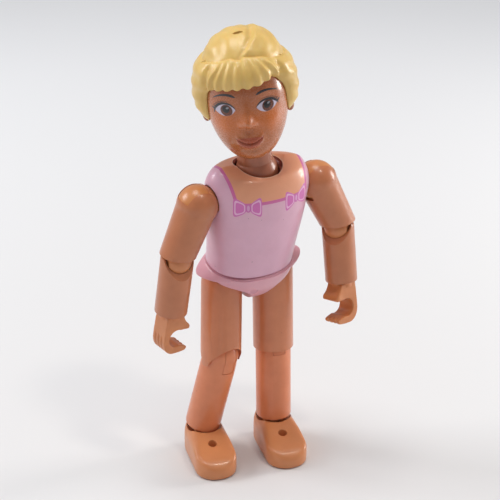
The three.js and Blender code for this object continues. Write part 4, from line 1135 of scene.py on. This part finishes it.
def face_material(matrix):
    """Skin plastic with printed lips, eyes and brows, painted reflected light on the cheeks and painted shade
    under the hair.
    """
    material, desk = new_material("face_plastic")
    place = own_place(desk, matrix)
    surface = desk.group(
        PLASTIC, Place=place, Colour=linear(180, 102, 54), Deep=linear(162, 88, 44),
        Drift=0.35, Specks=0.1, Roughness=0.27)
    x, y, z = desk.split(place)
    front = desk.math("LESS_THAN", y, -3.0)
    oval = oval_painter(desk, x, z)

    def arc(circle, grow, thickness, at, length, lean=0.0):
        (across, up), radius = circle
        return desk.group(
            PAINTED_ARC, Across=x, Up=z, Centre_across=across, Centre_up=up, Radius=radius + grow,
            Half_thickness=thickness, Middle_across=at, Half_length=length, Lean=lean)["Mask"]

    def almond(upper, lower, softness=0.06):
        return desk.group(
            PAINTED_ALMOND, Across=x, Up=z, Softness=softness,
            Upper_across=upper[0][0], Upper_up=upper[0][1], Upper_radius=upper[1],
            Lower_across=lower[0][0], Lower_up=lower[0][1], Lower_radius=lower[1])["Mask"]

    def on_face_front(mask, strength=1.0):
        return desk.times(mask, strength, front)

    colour = surface["Colour"]
    # Painted reflected light: warm orange pools on the cheeks, standing in for light thrown back from the
    # hair and the floor.
    for cheek in (-6.2, 5.4):
        cheek_painted_bounce_light = on_face_front(oval((cheek, -3.9), (4.3, 3.2), softness=0.8), 0.8)
        colour = desk.mix(cheek_painted_bounce_light, colour, linear(204, 106, 34))
    # Painted shade: the face is darker towards the hairline, under the fringe.
    forehead_painted_shade = desk.times(desk.ramp(z, 0.5, 7.0), 0.5)
    colour = desk.mix(forehead_painted_shade, colour, linear(154, 88, 54))

    mouth = desk.math("DIVIDE", desk.minus(x, FACE_MIDDLE), MOUTH["half_width"])
    mouth = desk.times(mouth, mouth)
    corners = [(FACE_MIDDLE + way * MOUTH["half_width"], MOUTH["up"] + MOUTH["smile"]) for way in (-1, 1)]
    over = circle_through(corners[0], (FACE_MIDDLE, MOUTH["up"] + MOUTH["smile"] + 0.35), corners[1])
    under = circle_through(corners[0], (FACE_MIDDLE, MOUTH["up"] - 1.75), corners[1])
    colour = desk.mix(on_face_front(almond(over, under, 0.16), 0.8), colour, linear(168, 76, 52))

    def smile(up, rise, half_thickness):
        curve = desk.plus(desk.times(mouth, rise), up)
        off = desk.math("ABSOLUTE", desk.minus(z, curve))
        within = desk.math("LESS_THAN", mouth, 1.08)
        return desk.times(desk.ramp(off, 0.02, half_thickness, 1.0, 0.0), within)

    lip_line = on_face_front(smile(MOUTH["up"], MOUTH["smile"], 0.22), 0.4)
    # Painted highlight: a pale line along the moulded lower edge of the lower lip.
    lower_lip_painted_highlight = on_face_front(smile(MOUTH["up"] - 1.95, 3.0, 0.32), 0.35)
    colour = desk.mix(lip_line, colour, linear(96, 40, 30))
    colour = desk.mix(lower_lip_painted_highlight, colour, linear(206, 150, 120))

    painted = None
    for eye in EYES:
        outside = eye["outside"]
        inner, outer = sorted(eye["corners"], key=lambda corner: abs(corner[0] - FACE_MIDDLE))
        upper = circle_through(eye["corners"][0], eye["top"], eye["corners"][1])
        lower = circle_through(eye["corners"][0], eye["bottom"], eye["corners"][1])
        white = on_face_front(almond(upper, lower, 0.05))
        iris = desk.times(oval(eye["iris"], (1.62, 1.62), softness=0.05), white)
        ring = desk.times(oval(eye["iris"], (1.3, 1.3), softness=0.3), iris)
        pupil = desk.times(oval(eye["pupil"], (0.98, 0.98), softness=0.12), white)
        glint_at = (eye["pupil"][0] + 0.42, eye["pupil"][1] + 0.4)
        glint = desk.times(oval(glint_at, (0.42, 0.26), 0.4, 0.4), white)
        colour = desk.mix(white, colour, linear(200, 190, 208))
        colour = desk.mix(iris, colour, linear(84, 38, 22))
        colour = desk.mix(desk.times(ring, 0.6), colour, linear(122, 58, 30))
        colour = desk.mix(pupil, colour, linear(20, 14, 14))
        colour = desk.mix(desk.times(glint, 0.6), colour, linear(176, 176, 184))
        middle, half = (inner[0] + outer[0]) / 2, abs(outer[0] - inner[0]) / 2
        lash = arc(upper, 0.14, 0.32, middle + 0.1 * outside, half + 0.35, 0.35 * outside)
        lid_fold = arc(upper, 0.72, 0.075, middle + 0.7 * outside, half - 0.3, 0.3 * outside)
        wing = oval((outer[0] + 0.25 * outside, outer[1] + 0.35), (0.62, 0.24), 0.65 * outside, 0.2)
        spike = oval((outer[0] - 0.1 * outside, outer[1] + 0.95), (0.5, 0.13), 0.8 * outside, 0.25)
        brow_circle = circle_through(*eye["brow"])
        ends = eye["brow"][0][0], eye["brow"][2][0]
        half_brow = abs(ends[1] - ends[0]) / 2 + 0.1
        brow = arc(brow_circle, 0, 0.3, sum(ends) / 2, half_brow, -0.5 * outside)
        for stroke in (lash, lid_fold, wing, spike, brow):
            stroke = on_face_front(stroke)
            colour = desk.mix(stroke, colour, linear(26, 18, 24))
            painted = stroke if painted is None else desk.math("MAXIMUM", painted, stroke)
        painted = desk.math("MAXIMUM", painted, white)
    # Painted shade: the ears and the sides of the head, under the side hair, are mixed halfway to a darker
    # tone.
    ears = desk.math("GREATER_THAN", desk.math("ABSOLUTE", x), 11.6)
    colour = desk.mix(desk.times(ears, 0.5), colour, linear(140, 78, 46))
    height = desk.plus(surface["Height"], desk.times(painted, 0.25))
    plastic_shader(desk, colour, surface["Roughness"], height, bump=0.06, coat=0.45, scatter=0.05)
    return material


NECKLINE = {"trim_up": 25.7, "left": -10.6, "right": 12.2, "lean": 0.22, "line": 0.46}
BOWS = ((-7.5, 24.7), (8.2, 24.7))


def suit_material(matrix):
    """Pink suit with a printed neckline, its trim and two plain bows."""
    material, desk = new_material("suit_print")
    place = own_place(desk, matrix)
    surface = desk.group(
        PLASTIC, Place=place, Colour=linear(*TONES["suit"][0]), Deep=linear(*TONES["suit"][1]),
        Drift=0.35, Specks=0.8, Roughness=0.38)
    x, y, z = desk.split(place)
    up = desk.minus(z, NECKLINE["trim_up"])
    lean = desk.times(up, NECKLINE["lean"])
    left = desk.plus(desk.minus(x, NECKLINE["left"]), lean)
    right = desk.plus(desk.minus(NECKLINE["right"], x), desk.times(lean, 0.5))
    inside = desk.math("MINIMUM", desk.math("MINIMUM", left, right), up)
    skin = desk.ramp(inside, -0.05, 0.05)
    line = NECKLINE["line"]
    trim = desk.ramp(desk.math("ABSOLUTE", inside), line - 0.06, line + 0.06, 1.0, 0.0)
    warmth = desk.times(desk.noise(place, 0.5), 0.5)
    skin_tone = desk.mix(warmth, linear(232, 160, 124), linear(216, 144, 106))
    colour = desk.mix(skin, surface["Colour"], skin_tone)
    colour = desk.mix(desk.times(trim, 0.9), colour, linear(204, 92, 158))
    front = desk.math("LESS_THAN", y, 0.0)
    oval = oval_painter(desk, x, z)
    for bow_x, bow_z in BOWS:
        across = desk.math("ABSOLUTE", desk.minus(x, bow_x))
        half_height = desk.plus(desk.times(across, 0.55), 1.0)
        outward = desk.math("DIVIDE", desk.minus(across, 2.3), 1.75)
        upward = desk.math("DIVIDE", desk.minus(z, bow_z), half_height)
        fourth_powers = [desk.math("POWER", desk.math("ABSOLUTE", value), 4.0) for value in (outward, upward)]
        reach = desk.plus(*fourth_powers)
        loop = desk.times(desk.ramp(reach, 0.92, 1.08, 1.0, 0.0), front)
        ring = desk.times(desk.ramp(reach, 0.14, 0.2), desk.ramp(reach, 0.42, 0.5, 1.0, 0.0))
        ring = desk.times(ring, front, 0.8)
        colour = desk.mix(loop, colour, linear(212, 110, 180))
        colour = desk.mix(ring, colour, linear(238, 192, 220))
        knot = desk.times(oval((bow_x, bow_z), (0.85, 1.25)), front)
        shine = desk.times(oval((bow_x, bow_z), (0.4, 0.85), softness=0.15), front)
        colour = desk.mix(knot, colour, linear(204, 104, 172))
        colour = desk.mix(desk.times(shine, 0.6), colour, linear(226, 180, 212))
    back_y = desk.minus(y, NECK["back"])
    reach = desk.distance(x, back_y)
    # Partly worn paint and partly painted highlight: a pale line round the neck hole's rim, where its bevel
    # catches the light.
    rim = desk.times(desk.ramp(reach, 7.3, 7.5, 1.0, 0.0), desk.math("GREATER_THAN", z, 28.0))
    inside_hole = desk.math("LESS_THAN", reach, 7.22)
    rim = desk.times(rim, desk.minus(1.0, inside_hole))
    colour = desk.mix(desk.times(rim, 0.7), colour, linear(232, 196, 170))
    wall = desk.times(inside_hole, desk.math("GREATER_THAN", z, 18.0))
    colour = desk.mix(wall, colour, linear(168, 98, 88))
    plastic_shader(
        desk, colour, surface["Roughness"], surface["Height"], bump=0.22, coat=0.3, scatter=0.1)
    return material


def hair_material(matrix):
    """Pale yellow plastic, a little deeper in scattered worn patches."""
    material, desk = new_material("hair_plastic")
    place = own_place(desk, matrix)
    surface = desk.group(
        PLASTIC, Place=place, Colour=linear(228, 192, 114), Deep=linear(212, 172, 90),
        Drift=0.6, Specks=0.35, Roughness=0.36)
    worn = desk.ramp(desk.noise(place, 1.6, 5.0, 0.7), 0.62, 0.8)
    colour = desk.mix(desk.times(worn, 0.35), surface["Colour"], linear(198, 158, 84))
    plastic_shader(
        desk, colour, surface["Roughness"], surface["Height"], bump=0.3, coat=0.1, scatter=0.15)
    return material


# Build
left_hip, right_hip = place_of("left_hip_flex"), place_of("right_hip_flex")
hip_axis = axis_of("left_hip_flex")
body_y = axis_of("waist_turn").cross(hip_axis).normalized()
pelvis_frame = stand((left_hip + right_hip) / 2, x=hip_axis, y=body_y)
across = (place_of("left_shoulder_swing") - place_of("right_shoulder_swing")).normalized()
torso_frame = stand(place_of("waist_turn"), x=across, z=axis_of("waist_turn"))

suit_plain = plastic_material(
    "suit_plastic", pelvis_frame, *TONES["skirt"], roughness=0.4, drift=0.4, scatter=0.1)
finish_piece(
    "pelvis_moulding", make_pelvis(), pelvis_frame, "pelvis", ["pelvis"], suit_plain, edge=0.14)
finish_piece(
    "torso_moulding", make_torso(), torso_frame, "torso", ["torso_front", "torso_back"],
    suit_material(torso_frame), edge=0.12)

LIMB_JOINTS = (
    "hip_turn", "knee_bend", "ankle_turn", "foot_pitch",
    "shoulder_swing", "shoulder_raise", "elbow_swivel", "elbow_bend", "wrist_turn",
)
for name, side in SIDES:
    place = {joint: place_of(f"{name}_{joint}") for joint in LIMB_JOINTS}
    axis = {joint: axis_of(f"{name}_{joint}") for joint in LIMB_JOINTS}
    hip = stand(place["hip_turn"], x=axis["knee_bend"], z=axis["hip_turn"])
    shin = stand(place["knee_bend"], x=axis["knee_bend"], z=axis["ankle_turn"])
    foot = stand(place["foot_pitch"], x=axis["foot_pitch"], z=Vector((0, 0, 1)))
    shoulder = stand(place["shoulder_swing"], x=axis["shoulder_swing"], y=axis["shoulder_raise"])
    arm_z = (place["shoulder_raise"] - place["elbow_swivel"]).normalized()
    arm = stand(place["shoulder_raise"], y=axis["shoulder_raise"], z=arm_z)
    elbow = stand(place["elbow_swivel"], x=axis["elbow_bend"], z=axis["elbow_swivel"])
    forearm = stand(place["elbow_bend"], x=axis["elbow_bend"], z=axis["wrist_turn"])
    palm_x = Matrix.Rotation(radians(HAND_TURN[name]), 3, axis["wrist_turn"]) @ axis["elbow_bend"]
    hand = stand(place["wrist_turn"], x=palm_x, z=axis["wrist_turn"])
    slant = -side * radians(ARM_RAISE[name] - FOREARM["lean"])
    parts = (
        ("thigh", make_thigh(side, side < 0), hip, "thigh", "skin", "thigh", 0.36),
        ("shin", make_shin(side < 0), shin, "shin", "skin", "shin", 0.36),
        ("knee_tongue", make_knee_tongue(side < 0), shin, "shin", "warm_skin", "shin", 0.36),
        ("foot", make_foot(), foot, "foot", "warm_skin", "warm", 0.36),
        ("shoulder_knuckle", make_shoulder_knuckle(side), shoulder, "shoulder", "warm_skin", "knuckle", 0.34),
        ("upper_arm", make_upper_arm(side, slant), arm, "upper_arm", "skin", "skin", 0.34),
        ("elbow_knuckle", make_elbow_knuckle(), elbow, "elbow", "warm_skin", "hand", 0.36),
        ("forearm", make_forearm(), forearm, "forearm", "skin", "skin", 0.36),
        ("hand", make_hand(), hand, "hand", "warm_skin", "hand", 0.38),
    )
    for part, shape, matrix, body, slot, tone, roughness in parts:
        piece = f"{part}_{name}"
        plastic = plastic_material(f"{piece}_plastic", matrix, *TONES[tone], roughness)
        edge = 0 if part == "hand" else 0.1
        finish_piece(f"{piece}_moulding", shape, matrix, f"{name}_{body}", [piece], plastic, edge)

nod_x = axis_of("neck_nod")
tilt_y = axis_of("neck_tilt")
neck_x = Matrix.Rotation(radians(HEAD_TILT), 3, tilt_y) @ nod_x
neck_frame = stand(place_of("neck_tilt"), x=neck_x, y=tilt_y)
head_frame = neck_frame @ Matrix.Translation((0, HEAD["forward"], HEAD["up"]))
neck_plastic = plastic_material("neck_plastic", neck_frame, *TONES["neck"], 0.34)
face_plastic = face_material(head_frame)
hair_plastic = hair_material(head_frame)
finish_piece("neck_moulding", make_neck(), neck_frame, "head", ["neck"], neck_plastic, edge=0.1)
finish_piece("head_moulding", make_head(), head_frame, "head", ["head"], face_plastic, edge=0)
finish_piece("hair_moulding", make_hair(), head_frame, "head", ["hair"], hair_plastic, edge=0)

inner_plastic = plastic_material("inner_plastic", pelvis_frame, *TONES["inner"], 0.45)
for node in frame["nodes"].values():
    node.data.materials.clear()
    node.data.materials.append(inner_plastic)


# Floor, light and camera
def floor_material():
    """Pale floor with painted light falloff, darker near the doll and paler outwards, which further out shows
    as an even backdrop to the camera.
    """
    material, desk = new_material("pale_floor")
    coordinates = desk.node("ShaderNodeTexCoord")
    x, y, _ = desk.split(coordinates.outputs["Object"])
    away = desk.distance(x, y)
    # Painted light falloff: the floor is darker near the doll and paler further out.
    painted_light_falloff = desk.ramp(away, 0.05, 0.6)
    colour = desk.mix(painted_light_falloff, linear(226, 225, 225), linear(252, 252, 253))
    faint = desk.times(desk.noise(coordinates.outputs["Object"], 9.0, 3.0), 0.04)
    colour = desk.mix(faint, colour, linear(214, 214, 214))
    shader = desk.node("ShaderNodeBsdfPrincipled")
    desk.feed(shader.inputs["Base Color"], colour)
    shader.inputs["Roughness"].default_value = 0.8
    shader.inputs["Specular IOR Level"].default_value = 0.2
    backdrop = desk.node("ShaderNodeEmission")
    backdrop.inputs["Color"].default_value = linear(212, 212, 214)
    rays = desk.node("ShaderNodeLightPath")
    seen = desk.math("MAXIMUM", rays.outputs["Is Camera Ray"], rays.outputs["Is Glossy Ray"])
    seen = desk.math("MAXIMUM", seen, rays.outputs["Is Transmission Ray"])
    blend = desk.node("ShaderNodeMixShader")
    desk.feed(blend.inputs[0], desk.times(seen, desk.ramp(away, 0.4, 1.0)))
    desk.feed(blend.inputs[1], shader.outputs["BSDF"])
    desk.feed(blend.inputs[2], backdrop.outputs["Emission"])
    out = desk.node("ShaderNodeOutputMaterial")
    desk.feed(out.inputs["Surface"], blend.outputs["Shader"])
    return material


ground = bmesh.new()
bmesh.ops.create_grid(ground, x_segments=8, y_segments=8, size=4)
floor = as_object(ground, "floor")
floor.data.materials.append(floor_material())

world = bpy.data.worlds.new("studio")
bpy.context.scene.world = world
world.use_nodes = True
world.node_tree.nodes["Background"].inputs["Color"].default_value = (0.93, 0.95, 1.0, 1.0)
world.node_tree.nodes["Background"].inputs["Strength"].default_value = 0.36


def lamp(name, place, aim, size, power, colour=(1, 1, 1)):
    light = bpy.data.lights.new(name, "AREA")
    light.shape = "RECTANGLE"
    light.size, light.size_y = size
    light.energy = power
    light.color = colour
    thing = bpy.data.objects.new(name, light)
    thing.location = place
    thing.rotation_euler = (Vector(aim) - Vector(place)).to_track_quat("-Z", "Y").to_euler()
    bpy.context.scene.collection.objects.link(thing)


lamp("window", (0.56, -0.06, 0.17), (0, 0, 0.08), (0.14, 0.24), 1.6, (1.0, 0.98, 0.96))
lamp("rear_softbox", (-0.55, 0.42, 0.5), (0, 0, 0.07), (0.35, 0.3), 2.7, (0.97, 0.98, 1.0))
lamp("top_softbox", (-0.04, 0.04, 0.85), (0, 0, 0.07), (0.4, 0.4), 2.9)
lamp("ceiling_lamp", (0.1, -0.25, 0.6), (0, 0, 0.07), (0.06, 0.06), 0.5, (1.0, 0.93, 0.82))

AZIMUTH, ELEVATION, DISTANCE = radians(-26.86), radians(22.96), 0.45
hips = (left_hip + right_hip) / 2
aim = Vector((hips.x + 0.00104, hips.y + 0.00019, 0.0651))
outward = Vector((sin(AZIMUTH) * cos(ELEVATION), -cos(AZIMUTH) * cos(ELEVATION), sin(ELEVATION)))
camera_data = bpy.data.cameras.new("camera")
camera_data.sensor_width = 36
camera_data.lens = 108
camera_data.clip_start = 0.01
camera = bpy.data.objects.new("camera", camera_data)
camera.location = aim + outward * DISTANCE
camera.rotation_euler = (-outward).to_track_quat("-Z", "Y").to_euler()
bpy.context.scene.collection.objects.link(camera)
bpy.context.scene.camera = camera
bpy.context.scene.view_settings.view_transform = "Standard"
